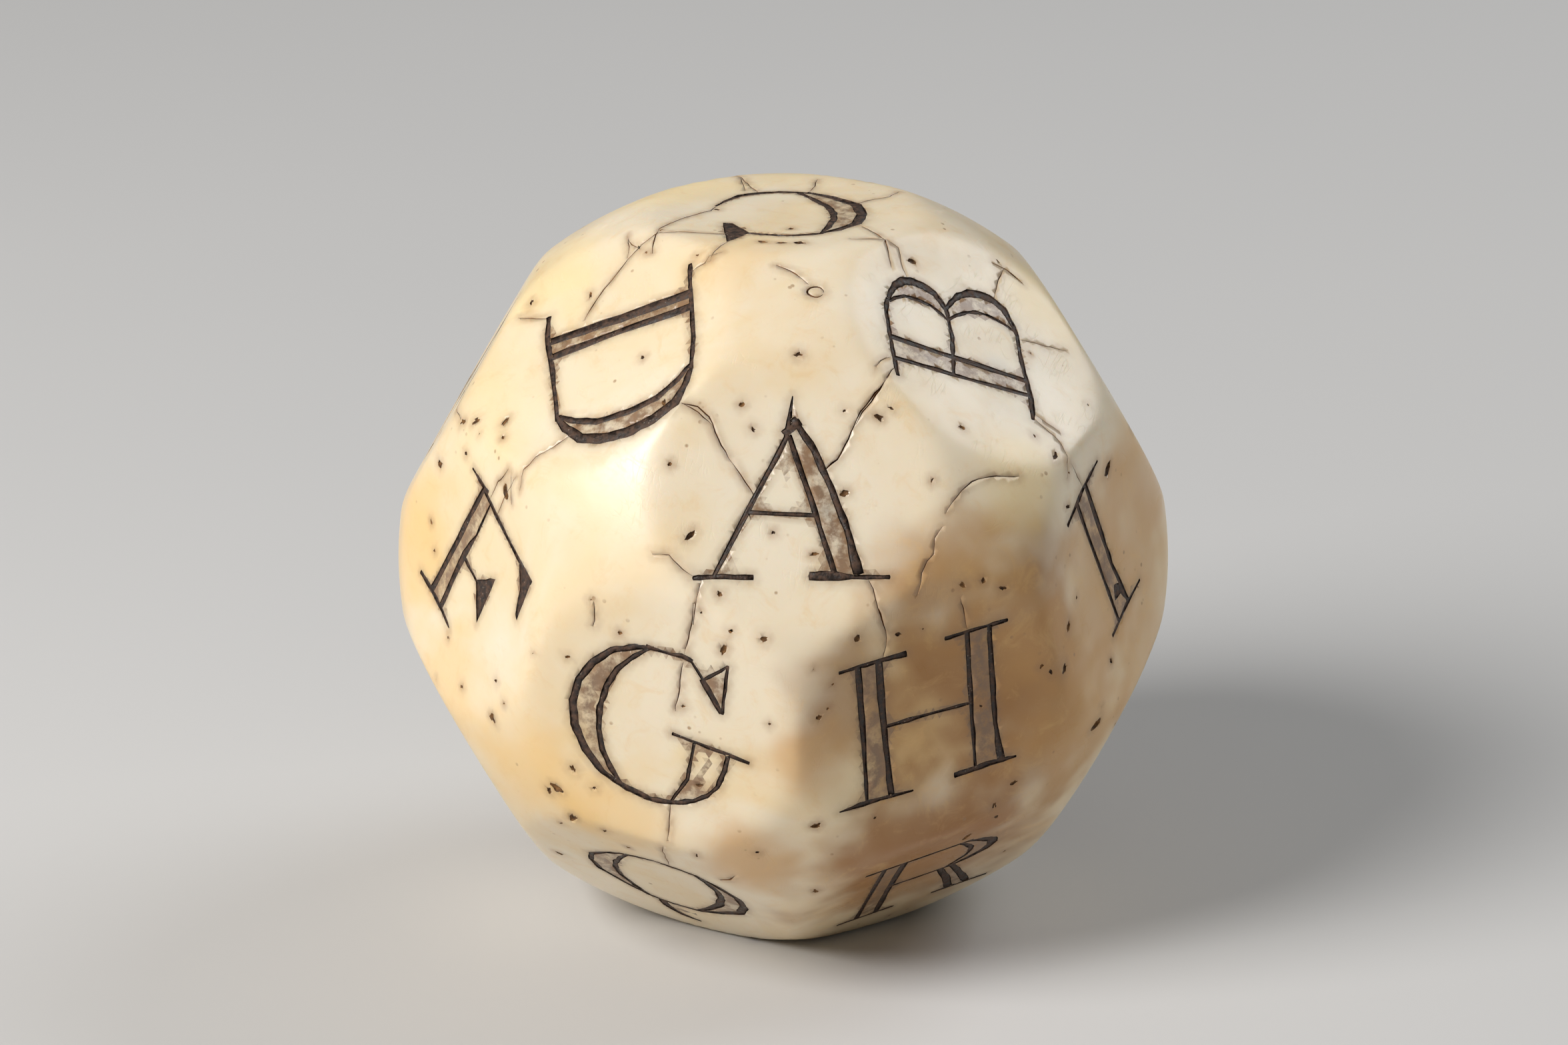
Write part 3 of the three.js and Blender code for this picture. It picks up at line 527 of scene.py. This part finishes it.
class Effects:
    """The node groups that more than one finish uses, each built once."""

    def __init__(self) -> None:
        """Builds every group."""
        self.scratches = self.build_scratches()
        self.grit = self.build_grit()

    @staticmethod
    def build_scratches() -> bpy.types.NodeTree:
        """Builds sparse hair-thin scratches in one direction, as a mask."""
        nodes, entrance, leaving = new_group(
            "hair_scratches",
            (("Place", "NodeSocketVector", None), ("Turn", "NodeSocketVector", (0.0, 0.0, 0.0)),
             ("Fineness", "NodeSocketFloat", 1.0)),
            (("Mask", "NodeSocketFloat"),),
        )
        turned = nodes.add("VectorRotate", rotation_type="EULER_XYZ")
        nodes.link(entrance.outputs["Place"], turned.inputs["Vector"])
        nodes.link(entrance.outputs["Turn"], turned.inputs["Rotation"])
        drawn = nodes.add("VectorMath", operation="MULTIPLY")
        nodes.link(turned.outputs["Vector"], drawn.inputs[0])
        drawn.inputs[1].default_value = (2600.0, 120.0, 700.0)
        scaled = nodes.add("VectorMath", operation="SCALE")
        nodes.link(drawn.outputs["Vector"], scaled.inputs[0])
        nodes.link(entrance.outputs["Fineness"], scaled.inputs["Scale"])
        lines = nodes.noise(scaled.outputs["Vector"], 1.0, 1.0, 0.4, 0.15)
        ridge = nodes.math("ABSOLUTE", nodes.math("SUBTRACT", lines, 0.5))
        thin = nodes.ramp(ridge, 0.0, 0.035, 1.0, 0.0)
        sparse = nodes.ramp(nodes.noise(entrance.outputs["Place"], 420.0, 2.0), 0.52, 0.66)
        nodes.link(nodes.math("MULTIPLY", thin, sparse), leaving.inputs["Mask"])
        return nodes.tree

    @staticmethod
    def build_grit() -> bpy.types.NodeTree:
        """Builds small grains of dirt as a mask, gathered in clusters."""
        nodes, entrance, leaving = new_group(
            "grit",
            (("Place", "NodeSocketVector", None), ("Scale", "NodeSocketFloat", 900.0),
             ("Size", "NodeSocketFloat", 0.16), ("Cover", "NodeSocketFloat", 0.6)),
            (("Mask", "NodeSocketFloat"),),
        )
        cells = nodes.add("TexVoronoi", feature="F1")
        nodes.link(entrance.outputs["Place"], cells.inputs["Vector"])
        nodes.link(entrance.outputs["Scale"], cells.inputs["Scale"])
        grains = nodes.math("SUBTRACT", entrance.outputs["Size"], cells.outputs["Distance"])
        sharp = nodes.math("MULTIPLY", grains, 14.0, clamp=True)
        where = nodes.math("SUBTRACT", nodes.noise(entrance.outputs["Place"], 330.0, 3.0), entrance.outputs["Cover"])
        near = nodes.math("MULTIPLY", where, 12.0, clamp=True)
        nodes.link(nodes.math("MULTIPLY", sharp, near), leaving.inputs["Mask"])
        return nodes.tree


@dataclass
class Finish:
    """A material under way: its nodes, its shader and the place that its patterns read."""

    name: str

    def __post_init__(self) -> None:
        """Makes the empty material."""
        self.material = bpy.data.materials.new(self.name)
        self.material.use_nodes = True
        self.nodes = Nodes(self.material.node_tree)
        self.shader = self.material.node_tree.nodes["Principled BSDF"]
        self.place = self.nodes.add("TexCoord").outputs["Object"]

    def use(self, group: bpy.types.NodeTree, **inputs: object) -> bpy.types.NodeSocket:
        """Places a shared group.

        Args:
            group: the node group.
            inputs: its inputs, as sockets or plain values, with names in lower case.

        Returns:
            The group's first output.
        """
        node = self.nodes.add("Group", node_tree=group)
        for name, value in inputs.items():
            target = node.inputs[name.capitalize()]
            if isinstance(value, bpy.types.NodeSocket):
                self.nodes.link(value, target)
            else:
                target.default_value = value
        return node.outputs[0]

    def attribute(self, name: str) -> bpy.types.NodeSocket:
        """Reads a value stored on the mesh."""
        return self.nodes.add("Attribute", attribute_name=name).outputs["Fac"]

    def bump(self, height: bpy.types.NodeSocket, strength: float, distance: float,
             under: bpy.types.NodeSocket | None = None) -> bpy.types.NodeSocket:
        """Adds a bump.

        Args:
            height: the height's socket.
            strength: 0 to 1.
            distance: the height's scale in metres.
            under: the normal of a bump under this one.

        Returns:
            The bumped normal's socket.
        """
        node = self.nodes.add("Bump")
        self.nodes.link(height, node.inputs["Height"])
        socket(node, "Strength", strength)
        socket(node, "Distance", distance)
        if under is not None:
            self.nodes.link(under, node.inputs["Normal"])
        return node.outputs["Normal"]

    def wire(self, **sockets: bpy.types.NodeSocket) -> None:
        """Feeds the shader, each input named in lower case with underscores."""
        for name, value in sockets.items():
            self.nodes.link(value, self.shader.inputs[name.replace("_", " ").title()])


@dataclass(frozen=True)
class Ivory:
    """Old handled ivory: cream, yellowed, brown where it has taken dirt, darkened by painted shade on the H and R
    flats, with a satin polish.
    """

    pale: Colour = (0.86, 0.75, 0.57)
    warm: Colour = (0.84, 0.67, 0.42)
    golden: Colour = (0.78, 0.50, 0.20)
    dirt: Colour = (0.34, 0.18, 0.08)
    fleck: Colour = (0.34, 0.19, 0.08)
    soaked: Colour = (0.21, 0.135, 0.085)
    polish: float = 0.30
    glow: float = 0.22

    def material(self, effects: Effects) -> bpy.types.Material:
        """Builds the material.

        Args:
            effects: the shared node groups.

        Returns:
            The finished material.
        """
        finish = Finish("ivory")
        nodes = finish.nodes
        clouds = nodes.ramp(nodes.noise(finish.place, 95.0, 4.0, 0.6, 0.6), 0.35, 0.7)
        colour = nodes.mix(clouds, self.pale, self.warm)
        # These colour and cover values hold painted shade too: umber patches darken the H and R flats.
        stains_and_shade = nodes.add("Attribute", attribute_name="stain_and_shade_colour").outputs["Color"]
        colour = nodes.mix(finish.attribute("stain_and_shade_cover"), colour, (0.0, 0.0, 0.0))
        colour = nodes.mix(1.0, colour, stains_and_shade, "ADD")
        mottle = nodes.ramp(nodes.noise(finish.place, 520.0, 5.0, 0.7, 0.8), 0.50, 0.74, 0.0, 0.30)
        colour = nodes.mix(mottle, colour, self.golden)
        flecks = finish.use(effects.grit, place=finish.place, scale=1150.0, size=0.17, cover=0.57)
        colour = nodes.mix(nodes.math("MULTIPLY", flecks, 0.75), colour, self.fleck)
        between = nodes.ramp(finish.attribute("between"), 0.52, 0.68)
        streaks = nodes.ramp(nodes.noise(finish.place, 900.0, 5.0, 0.7), 0.36, 0.60, 0.22, 0.95)
        colour = nodes.mix(nodes.math("MULTIPLY", between, streaks), colour, self.soaked)
        halo = nodes.math("MULTIPLY", finish.attribute("halo"),
                          nodes.ramp(nodes.noise(finish.place, 900.0, 3.0), 0.3, 0.7, 0.45, 1.0))
        colour = nodes.mix(halo, colour, self.dirt)
        finish.wire(base_color=colour)
        hairs = nodes.math("ADD",
                           finish.use(effects.scratches, place=finish.place, turn=Turn.ACROSS.angles),
                           finish.use(effects.scratches, place=finish.place, turn=Turn.LENGTHWISE.angles))
        worn = nodes.ramp(nodes.noise(finish.place, 240.0, 4.0), 0.3, 0.75, self.polish, self.polish + 0.2)
        finish.wire(roughness=nodes.math("ADD", worn, nodes.math("MULTIPLY", hairs, 0.12), clamp=True))
        tool = nodes.noise(finish.place, 700.0, 4.0, 0.6)
        low = finish.bump(tool, 0.12, 0.00012)
        fine = finish.bump(hairs, 0.22, -0.00002, low)
        pores = finish.bump(nodes.noise(finish.place, 5200.0, 2.0), 0.08, 0.00003, fine)
        finish.wire(normal=pores)
        socket(finish.shader, "Subsurface Weight", self.glow)
        socket(finish.shader, "Subsurface Radius", (1.0, 0.55, 0.28))
        socket(finish.shader, "Subsurface Scale", 0.0016)
        socket(finish.shader, "IOR", 1.54)
        socket(finish.shader, "Coat Weight", 0.12)
        socket(finish.shader, "Coat Roughness", 0.16)
        return finish.material


@dataclass(frozen=True)
class Pigment:
    """Dark brown rubbed-in pigment, crusted, with lighter grains where it has worn."""

    dark: Colour = (0.022, 0.013, 0.009)
    brown: Colour = (0.095, 0.050, 0.030)
    grain: Colour = (0.30, 0.24, 0.19)
    name: str = "letter_pigment"

    def material(self, effects: Effects) -> bpy.types.Material:
        """Builds the material.

        Args:
            effects: the shared node groups.

        Returns:
            The finished material.
        """
        finish = Finish(self.name)
        nodes = finish.nodes
        crust = nodes.noise(finish.place, 2600.0, 4.0, 0.65)
        colour = nodes.mix(nodes.ramp(crust, 0.38, 0.66), self.dark, self.brown)
        specks = finish.use(effects.grit, place=finish.place, scale=4200.0, size=0.22, cover=0.52)
        colour = nodes.mix(nodes.math("MULTIPLY", specks, 0.7), colour, self.grain)
        finish.wire(base_color=colour, roughness=nodes.ramp(crust, 0.3, 0.7, 0.42, 0.8))
        finish.wire(normal=finish.bump(crust, 0.7, 0.00012))
        return finish.material


@dataclass(frozen=True)
class Dirt:
    """Brown dirt that lines a crack or a pit."""

    name: str
    deep: Colour
    shallow: Colour

    def material(self) -> bpy.types.Material:
        """Builds the material."""
        finish = Finish(self.name)
        nodes = finish.nodes
        grime = nodes.noise(finish.place, 1800.0, 3.0, 0.6)
        finish.wire(base_color=nodes.mix(nodes.ramp(grime, 0.35, 0.65), self.deep, self.shallow))
        finish.wire(roughness=nodes.ramp(grime, 0.3, 0.7, 0.5, 0.85), normal=finish.bump(grime, 0.4, 0.00006))
        socket(finish.shader, "Specular IOR Level", 0.2)
        return finish.material


def mesh_object(name: str, bm: bmesh.types.BMesh, material: bpy.types.Material | None = None) -> bpy.types.Object:
    """Turns a bmesh into an object at the origin.

    Args:
        name: the object's name.
        bm: the bmesh, which is freed.
        material: what it is made of.

    Returns:
        The new object.
    """
    mesh = bpy.data.meshes.new(name)
    bm.to_mesh(mesh)
    bm.free()
    made = bpy.data.objects.new(name, mesh)
    bpy.context.scene.collection.objects.link(made)
    if material is not None:
        mesh.materials.append(material)
    return made


def carve(target: bpy.types.Object, cutter: bpy.types.Object) -> None:
    """Cuts one object with another, which is then removed.

    Args:
        target: the object that is cut.
        cutter: the cutting object, whose material lines the cut.
    """
    modifier = target.modifiers.new("carve", "BOOLEAN")
    modifier.operation = "DIFFERENCE"
    modifier.solver = "MANIFOLD"
    modifier.object = cutter
    modifier.material_mode = "TRANSFER"
    bpy.context.view_layer.update()
    cut = bpy.data.meshes.new_from_object(target.evaluated_get(bpy.context.evaluated_depsgraph_get()))
    target.modifiers.clear()
    target.data = cut
    bpy.data.objects.remove(cutter)


def split_long_edges(bm: bmesh.types.BMesh, limit: float, rounds: int) -> None:
    """Halves the edges longer than a limit, a few times over."""
    for _ in range(rounds):
        long_edges = [edge for edge in bm.edges if edge.calc_length() > limit]
        if not long_edges:
            return
        bmesh.ops.subdivide_edges(bm, edges=long_edges, cuts=1)
        bmesh.ops.triangulate(bm, faces=bm.faces[:])


@dataclass
class Engraving:
    """The cut letters: the tools that cut them and the pigment that fills them."""

    layout: Layout
    fill_top: float = 0.08 * MM
    reach: float = 0.45 * MM
    groove_growth: float = 0.055 * MM
    fill_growth: float = 0.02 * MM
    torn_edge: float = 0.075 * MM
    crust: float = 0.07 * MM
    step: float = 0.36 * MM
    weld: float = 0.00001 * MM
    floor_gap: float = 0.04 * MM

    def copy_of_fill(self, flat: Flat) -> bmesh.types.BMesh:
        """Copies the CAD filling of one letter and merges its loose triangles."""
        bm = bmesh.new()
        bm.from_mesh(frame["nodes"][f"letter_{flat.name}_fill"].data)
        bmesh.ops.remove_doubles(bm, verts=bm.verts[:], dist=self.weld)
        split_long_edges(bm, self.step, 2)
        return bm

    def outward(self, bm: bmesh.types.BMesh, flat: Flat) -> dict[int, Vector]:
        """Finds how each vertex moves for the walls to move out by one unit.

        Args:
            bm: the filling.
            flat: the flat that it is in.

        Returns:
            The move of each vertex on a wall, by index.
        """
        bm.normal_update()
        bm.verts.index_update()
        moves: dict[int, Vector] = {}
        for vertex in bm.verts:
            total = Vector()
            for face in vertex.link_faces:
                if abs(face.normal.dot(flat.normal)) < 0.5:
                    total += face.normal * face.calc_area() ** 0.5
            if total.length > 0:
                moves[vertex.index] = total.normalized()
        return moves

    def shaped(self, flat: Flat, growth: float, top: Callable[[Vector], float]) -> bmesh.types.BMesh:
        """Makes a copy of a filling with walls moved out and torn, and another top.

        Args:
            flat: the flat that the letter is on.
            growth: how far the walls move out, in metres.
            top: gives the height of the top over the flat at a point, in metres.

        Returns:
            The new shape.
        """
        bm = self.copy_of_fill(flat)
        moves = self.outward(bm, flat)
        for vertex in bm.verts:
            height = (vertex.co - flat.centre).dot(flat.normal)
            tear = noise.fractal(vertex.co * 1500.0, 0.8, 2.2, 2) * self.torn_edge
            if vertex.index in moves:
                vertex.co += moves[vertex.index] * (growth + tear)
            if height > -1.6 * self.fill_top:
                vertex.co += flat.normal * (top(vertex.co) - height)
            elif growth > self.fill_growth:
                vertex.co -= flat.normal * self.floor_gap
        return bm

    def cutter(self, material: bpy.types.Material) -> bpy.types.Object:
        """Makes the tool that cuts the grooves of all the letters."""
        whole = bmesh.new()
        for flat in self.layout.flats.values():
            one = self.shaped(flat, self.groove_growth, lambda _: self.reach)
            loose = bpy.data.meshes.new("loose")
            one.to_mesh(loose)
            one.free()
            whole.from_mesh(loose)
            bpy.data.meshes.remove(loose)
        return mesh_object("cut_letters", whole, material)

    def filling(self, flat: Flat, material: bpy.types.Material) -> bpy.types.Object:
        """Makes a letter's pigment, crusted on top, in place of the plain CAD one."""
        def crusted(place: Vector) -> float:
            return -self.fill_top + noise.noise(place * 3400.0) * self.crust

        bm = self.shaped(flat, self.fill_growth, crusted)
        for face in bm.faces:
            face.smooth = True
        made = mesh_object(f"filling_{flat.name}", bm, material)
        made.data.set_sharp_from_angle(angle=math.radians(40))
        return made


@dataclass
class Marks:
    """Cracks, scratches and pits: what age and handling have cut into the ivory."""

    layout: Layout
    step: float = 0.35 * MM
    wander: float = 0.10 * MM
    narrow: float = 0.8
    finest: float = 0.07
    proud: float = 0.3 * MM
    seed: int = 24

    def route(self, stroke: Stroke) -> list[tuple[Vector, Vector]]:
        """Follows a crack over the surface.

        Args:
            stroke: the crack.

        Returns:
            Points on the surface in even small steps, each with the surface's normal.
        """
        flat = self.layout.flats[stroke.flat]
        corners = [self.layout.surface(flat.point(x, y))[0] for x, y in stroke.points]
        stations: list[Vector] = []
        for start, end in zip(corners, corners[1:]):
            count = max(int((end - start).length / self.step), 1)
            stations += [start.lerp(end, index / count) for index in range(count)]
        stations.append(corners[-1])
        wandering = []
        for station in stations:
            sway = noise.noise_vector(station * 1400.0) * self.wander
            wandering.append(self.layout.surface(station + sway))
        return wandering

    def crack_cutter(self, bm: bmesh.types.BMesh, stroke: Stroke) -> None:
        """Adds the V-shaped tool of one crack, extruded along its route.

        Args:
            bm: takes the tool.
            stroke: the crack.
        """
        route = self.route(stroke)
        sections = []
        for index, (place, normal) in enumerate(route):
            before = route[max(index - 1, 0)][0]
            after = route[min(index + 1, len(route) - 1)][0]
            along = (after - before).normalized()
            across = along.cross(normal).normalized()
            ends = min(index, len(route) - 1 - index) / 3
            taper = min(1.0, 0.35 + ends)
            swell = 1.0 + 0.8 * noise.noise(place * 1300.0)
            width = max(stroke.width, self.finest) * self.narrow * MM * taper * swell
            depth = width * 1.8 + 0.05 * MM
            height = self.proud + depth
            spread = width * height / depth
            middle = place + normal * (self.proud - height / 3)
            turn = Matrix((across, -normal, across.cross(-normal))).transposed().to_4x4()
            scale = Matrix.Diagonal((spread / math.sqrt(3), height / 1.5, 1.0, 1.0))
            sections.append(Matrix.Translation(middle) @ turn @ scale)
        made = bmesh.ops.create_circle(bm, cap_ends=True, radius=1.0, segments=3)
        bmesh.ops.transform(bm, matrix=sections[0], verts=made["verts"])
        cap = made["verts"][0].link_faces[0]
        for previous, current in zip(sections, sections[1:]):
            grown = bmesh.ops.extrude_face_region(bm, geom=[cap])["geom"]
            verts = [item for item in grown if isinstance(item, bmesh.types.BMVert)]
            bmesh.ops.transform(bm, matrix=current @ previous.inverted(), verts=verts)
            if previous is not sections[0]:
                bm.faces.remove(cap)
            cap = next(item for item in grown if isinstance(item, bmesh.types.BMFace))

    def cracks(self, strokes: Iterable[Stroke], material: bpy.types.Material) -> bpy.types.Object:
        """Makes the tool for a set of cracks that don't cross."""
        bm = bmesh.new()
        for stroke in strokes:
            self.crack_cutter(bm, stroke)
        bmesh.ops.recalc_face_normals(bm, faces=bm.faces[:])
        return mesh_object("cut_cracks", bm, material)

    def all_pits(self) -> list[Pit]:
        """Lists the pits that the die shows in front, and scatters some over the other flats."""
        chance = random.Random(self.seed)
        pits = list(PITS)
        for name in self.layout.flats:
            count = 2 if any(pit.flat == name for pit in PITS) else 12
            for _ in range(count):
                angle = chance.uniform(0, math.tau)
                reach = 8.6 * math.sqrt(chance.random())
                size = 0.12 + 0.34 * chance.random() ** 3
                pit = Pit(name, reach * math.cos(angle), reach * math.sin(angle), size,
                          chance.uniform(1.0, 2.2), chance.uniform(0, 180))
                if all(self.apart(pit, other) for other in pits):
                    pits.append(pit)
        return pits

    @staticmethod
    def apart(one: Pit, other: Pit) -> bool:
        """Tells whether two pits keep clear of each other."""
        if one.flat != other.flat:
            return True
        reach = one.size * one.stretch + other.size * other.stretch
        return math.hypot(one.x - other.x, one.y - other.y) > reach

    def pits(self, material: bpy.types.Material) -> bpy.types.Object:
        """Makes the tool that gouges the pits."""
        bm = bmesh.new()
        for pit in self.all_pits():
            flat = self.layout.flats[pit.flat]
            place, normal = self.layout.surface(flat.point(pit.x, pit.y))
            turn = math.radians(pit.turn)
            along = flat.right * math.cos(turn) + flat.up * math.sin(turn)
            across = normal.cross(along).normalized()
            along = across.cross(normal)
            half = pit.size * MM * 0.42
            basis = Matrix((along * half * pit.stretch, across * half, normal * half * 0.8)).transposed()
            made = bmesh.ops.create_icosphere(bm, subdivisions=2, radius=1.0)
            for vertex in made["verts"]:
                ragged = 1.0 + 0.8 * noise.noise(vertex.co * 2.1 + Vector((pit.x, pit.y, pit.size)) * 5.0)
                vertex.co *= ragged
            bmesh.ops.transform(bm, matrix=Matrix.Translation(place) @ basis.to_4x4(), verts=made["verts"])
        return mesh_object("cut_pits", bm, material)


@dataclass
class Lump:
    """The ivory itself: a turned ball with 24 hand-cut flats, worn round at the rims."""

    layout: Layout
    fineness: int = 7
    rim_wear: float = 0.36 * MM
    waver: float = 0.05 * MM
    halo_reach: float = 0.30 * MM
    ridge_reach: float = 1.1 * MM

    def blank(self, material: bpy.types.Material) -> bpy.types.Object:
        """Shapes the ball and its flats.

        Args:
            material: the ivory.

        Returns:
            The lump before anything is cut in it.
        """
        bm = bmesh.new()
        bmesh.ops.create_icosphere(bm, subdivisions=self.fineness, radius=1.0)
        normals = [flat.normal for flat in self.layout.flats.values()]
        ball = self.layout.ball_radius
        for vertex in bm.verts:
            direction = vertex.co.normalized()
            to_flat = self.layout.flat_distance / max(normal.dot(direction) for normal in normals)
            blend = min(max(0.5 + 0.5 * (ball - to_flat) / self.rim_wear, 0.0), 1.0)
            radius = ball + (to_flat - ball) * blend - self.rim_wear * blend * (1 - blend)
            radius -= self.waver * (0.5 + 0.5 * noise.noise(direction * 5.0))
            vertex.co = self.layout.centre + direction * radius
        bmesh.ops.recalc_face_normals(bm, faces=bm.faces[:])
        return mesh_object("ivory_lump", bm, material)

    def mark_halos(self, lump: bpy.types.Object) -> None:
        """Stores how near each vertex lies to a cut, where dirt has crept into the ivory."""
        mesh = lump.data
        lined = set()
        for polygon in mesh.polygons:
            if polygon.material_index > 0:
                lined.update(polygon.vertices)
        tree = KDTree(len(lined))
        for index in lined:
            tree.insert(mesh.vertices[index].co, index)
        tree.balance()
        halo = np.zeros(len(mesh.vertices), np.float32)
        for vertex in mesh.vertices:
            distance = tree.find(vertex.co)[2]
            halo[vertex.index] = 0.6 * math.exp(-((distance / self.halo_reach) ** 2))
        mesh.attributes.new("halo", "FLOAT", "POINT").data.foreach_set("value", halo)

    def mark_ridges(self, lump: bpy.types.Object, pigment: bpy.types.Material) -> None:
        """Stores how far each face is shut in between two letter cuts, where pigment has soaked in.

        Args:
            lump: the cut ivory.
            pigment: what lines the letter cuts.
        """
        mesh = lump.data
        lining = mesh.materials.find(pigment.name)
        walls: set[int] = set()
        bare: set[int] = set()
        for polygon in mesh.polygons:
            if polygon.material_index == lining:
                walls.update(polygon.vertices)
            elif polygon.material_index == 0:
                bare.update(polygon.vertices)
        rims = walls & bare
        tree = KDTree(len(rims))
        for index in rims:
            tree.insert(mesh.vertices[index].co, index)
        tree.balance()
        between = np.zeros(len(mesh.polygons), np.float32)
        for polygon in mesh.polygons:
            near = tree.find_range(polygon.center, self.ridge_reach)
            if near:
                pull = sum(((place - polygon.center).normalized() for place, _, _ in near), Vector())
                between[polygon.index] = 1.0 - pull.length / len(near)
        mesh.attributes.new("between", "FLOAT", "FACE").data.foreach_set("value", between)

    def mark_stains_and_painted_shade(self, lump: bpy.types.Object) -> None:
        """Stores, at each vertex, the colour and the cover of the patches: staining, and painted shade where umber
        patches darken the H and R flats.
        """
        mesh = lump.data
        places = np.zeros(len(mesh.vertices) * 3, np.float64)
        mesh.vertices.foreach_get("co", places)
        places = places.reshape(-1, 3)
        ragged = np.array([noise.fractal(Vector(place) * 260.0, 0.8, 2.0, 3) for place in places]) * 0.3
        colour = np.zeros((len(places), 4))
        cover = np.zeros(len(places))
        for tint_patch in STAINS_AND_PAINTED_SHADE:
            middle = np.array(self.layout.flats[tint_patch.flat].point(tint_patch.x, tint_patch.y))
            share = np.linalg.norm(places - middle, axis=1) / (tint_patch.radius * MM) + ragged
            edge = np.clip((1.0 - share) / 0.75, 0.0, 1.0)
            factor = edge * edge * (3.0 - 2.0 * edge) * tint_patch.strength
            colour = colour * (1.0 - factor)[:, None] + np.array((*tint_patch.colour, 1.0)) * factor[:, None]
            cover = cover * (1.0 - factor) + factor
        mesh.attributes.new("stain_and_shade_colour", "FLOAT_COLOR", "POINT").data.foreach_set("color", colour.ravel())
        mesh.attributes.new("stain_and_shade_cover", "FLOAT", "POINT").data.foreach_set("value", cover)

    def smooth(self, lump: bpy.types.Object) -> None:
        """Shades the surface smooth, with crisp rims at the cuts."""
        lump.data.shade_smooth()
        lump.data.set_sharp_from_angle(angle=math.radians(24))


@dataclass(frozen=True)
class Lamp:
    """A soft lamp: the direction from the die to it, its distance, size, power and colour."""

    name: str
    direction: tuple[float, float, float]
    distance: float
    size: float
    watts: float
    colour: Colour


@dataclass
class Studio:
    """The floor, the lamps and the camera."""

    layout: Layout
    frame_width: int = 2352
    die_offset: tuple[float, float] = (1.1, 48.8)
    azimuth: float = -2.03
    elevation: float = 19.64
    distance: float = 0.357
    lens: float = 140.03
    lamps: tuple[Lamp, ...] = (
        Lamp("key", (-0.66, -0.42, 0.62), 0.6, 0.32, 3.9, (1.0, 0.975, 0.945)),
        Lamp("back_right", (0.684, 0.379, 0.623), 0.7, 0.46, 1.9, (0.96, 0.98, 1.0)),
    )

    def camera(self) -> None:
        """Places the camera at the photograph's viewing angle."""
        turn = math.radians(self.azimuth)
        rise = math.radians(self.elevation)
        towards = Vector((math.sin(turn) * math.cos(rise), -math.cos(turn) * math.cos(rise), math.sin(rise)))
        data = bpy.data.cameras.new("camera")
        data.lens = self.lens
        data.sensor_width = 36.0
        data.clip_start = 0.01
        data.clip_end = 20.0
        data.shift_x = self.die_offset[0] / self.frame_width
        data.shift_y = self.die_offset[1] / self.frame_width
        made = bpy.data.objects.new("camera", data)
        made.location = self.layout.centre + towards * self.distance
        made.rotation_euler = (-towards).to_track_quat("-Z", "Y").to_euler()
        bpy.context.scene.collection.objects.link(made)
        bpy.context.scene.camera = made

    def light(self) -> None:
        """Hangs the lamps."""
        for lamp in self.lamps:
            data = bpy.data.lights.new(lamp.name, "AREA")
            data.shape = "DISK"
            data.size = lamp.size
            data.energy = lamp.watts
            data.color = lamp.colour
            made = bpy.data.objects.new(lamp.name, data)
            direction = Vector(lamp.direction).normalized()
            made.location = self.layout.centre + direction * lamp.distance
            made.rotation_euler = (-direction).to_track_quat("-Z", "Y").to_euler()
            bpy.context.scene.collection.objects.link(made)

    def world(self) -> None:
        """Makes a dim room that the camera sees as a pale backdrop."""
        world = bpy.data.worlds.new("room")
        bpy.context.scene.world = world
        world.use_nodes = True
        nodes = Nodes(world.node_tree)
        seen = nodes.add("LightPath").outputs["Is Camera Ray"]
        background = world.node_tree.nodes["Background"]
        nodes.link(nodes.mix(seen, (0.92, 0.91, 0.88), (0.86, 0.86, 0.85)), background.inputs["Color"])
        nodes.link(nodes.ramp(seen, 0.0, 1.0, 0.16, 0.95), background.inputs["Strength"])

    def floor(self) -> None:
        """Lays a plain pale floor."""
        bm = bmesh.new()
        bmesh.ops.create_grid(bm, x_segments=4, y_segments=4, size=2.0)
        finish = Finish("floor")
        nodes = finish.nodes
        cloudy = nodes.noise(finish.place, 9.0, 2.0)
        finish.wire(base_color=nodes.mix(cloudy, (0.60, 0.60, 0.60), (0.64, 0.635, 0.63)))
        socket(finish.shader, "Roughness", 0.75)
        made = mesh_object("floor", bm, finish.material)
        made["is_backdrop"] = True


def main() -> None:
    """Builds the die, dresses it and sets the scene."""
    logging.basicConfig(level=logging.INFO)
    layout = Layout()
    studio = Studio(layout)
    studio.camera()
    studio.light()
    studio.world()
    studio.floor()
    effects = Effects()
    ivory = Ivory().material(effects)
    pigment = Pigment().material(effects)
    crack_dirt = Dirt("crack_dirt", (0.075, 0.030, 0.012), (0.26, 0.12, 0.045)).material()
    pit_dirt = Dirt("pit_dirt", (0.045, 0.022, 0.010), (0.24, 0.12, 0.045)).material()

    lump_maker = Lump(layout)
    lump = lump_maker.blank(ivory)
    marks = Marks(layout)
    engraving = Engraving(layout)
    for start in range(2):
        carve(lump, marks.cracks(CRACKS[start::2], crack_dirt))
    carve(lump, marks.pits(pit_dirt))
    carve(lump, engraving.cutter(pigment))
    lump_maker.mark_halos(lump)
    lump_maker.mark_ridges(lump, pigment)
    lump_maker.mark_stains_and_painted_shade(lump)
    lump_maker.smooth(lump)
    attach(lump, BODY)
    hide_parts("die_body")
    LOG.info("%s: %d faces", lump.name, len(lump.data.polygons))

    for flat in layout.flats.values():
        filling = engraving.filling(flat, pigment)
        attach(filling, BODY)
        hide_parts(f"letter_{flat.name}_fill")
        LOG.info("%s: %d faces", filling.name, len(filling.data.polygons))

    bpy.context.scene.view_settings.view_transform = "Standard"


if __name__ == "__main__":
    main()
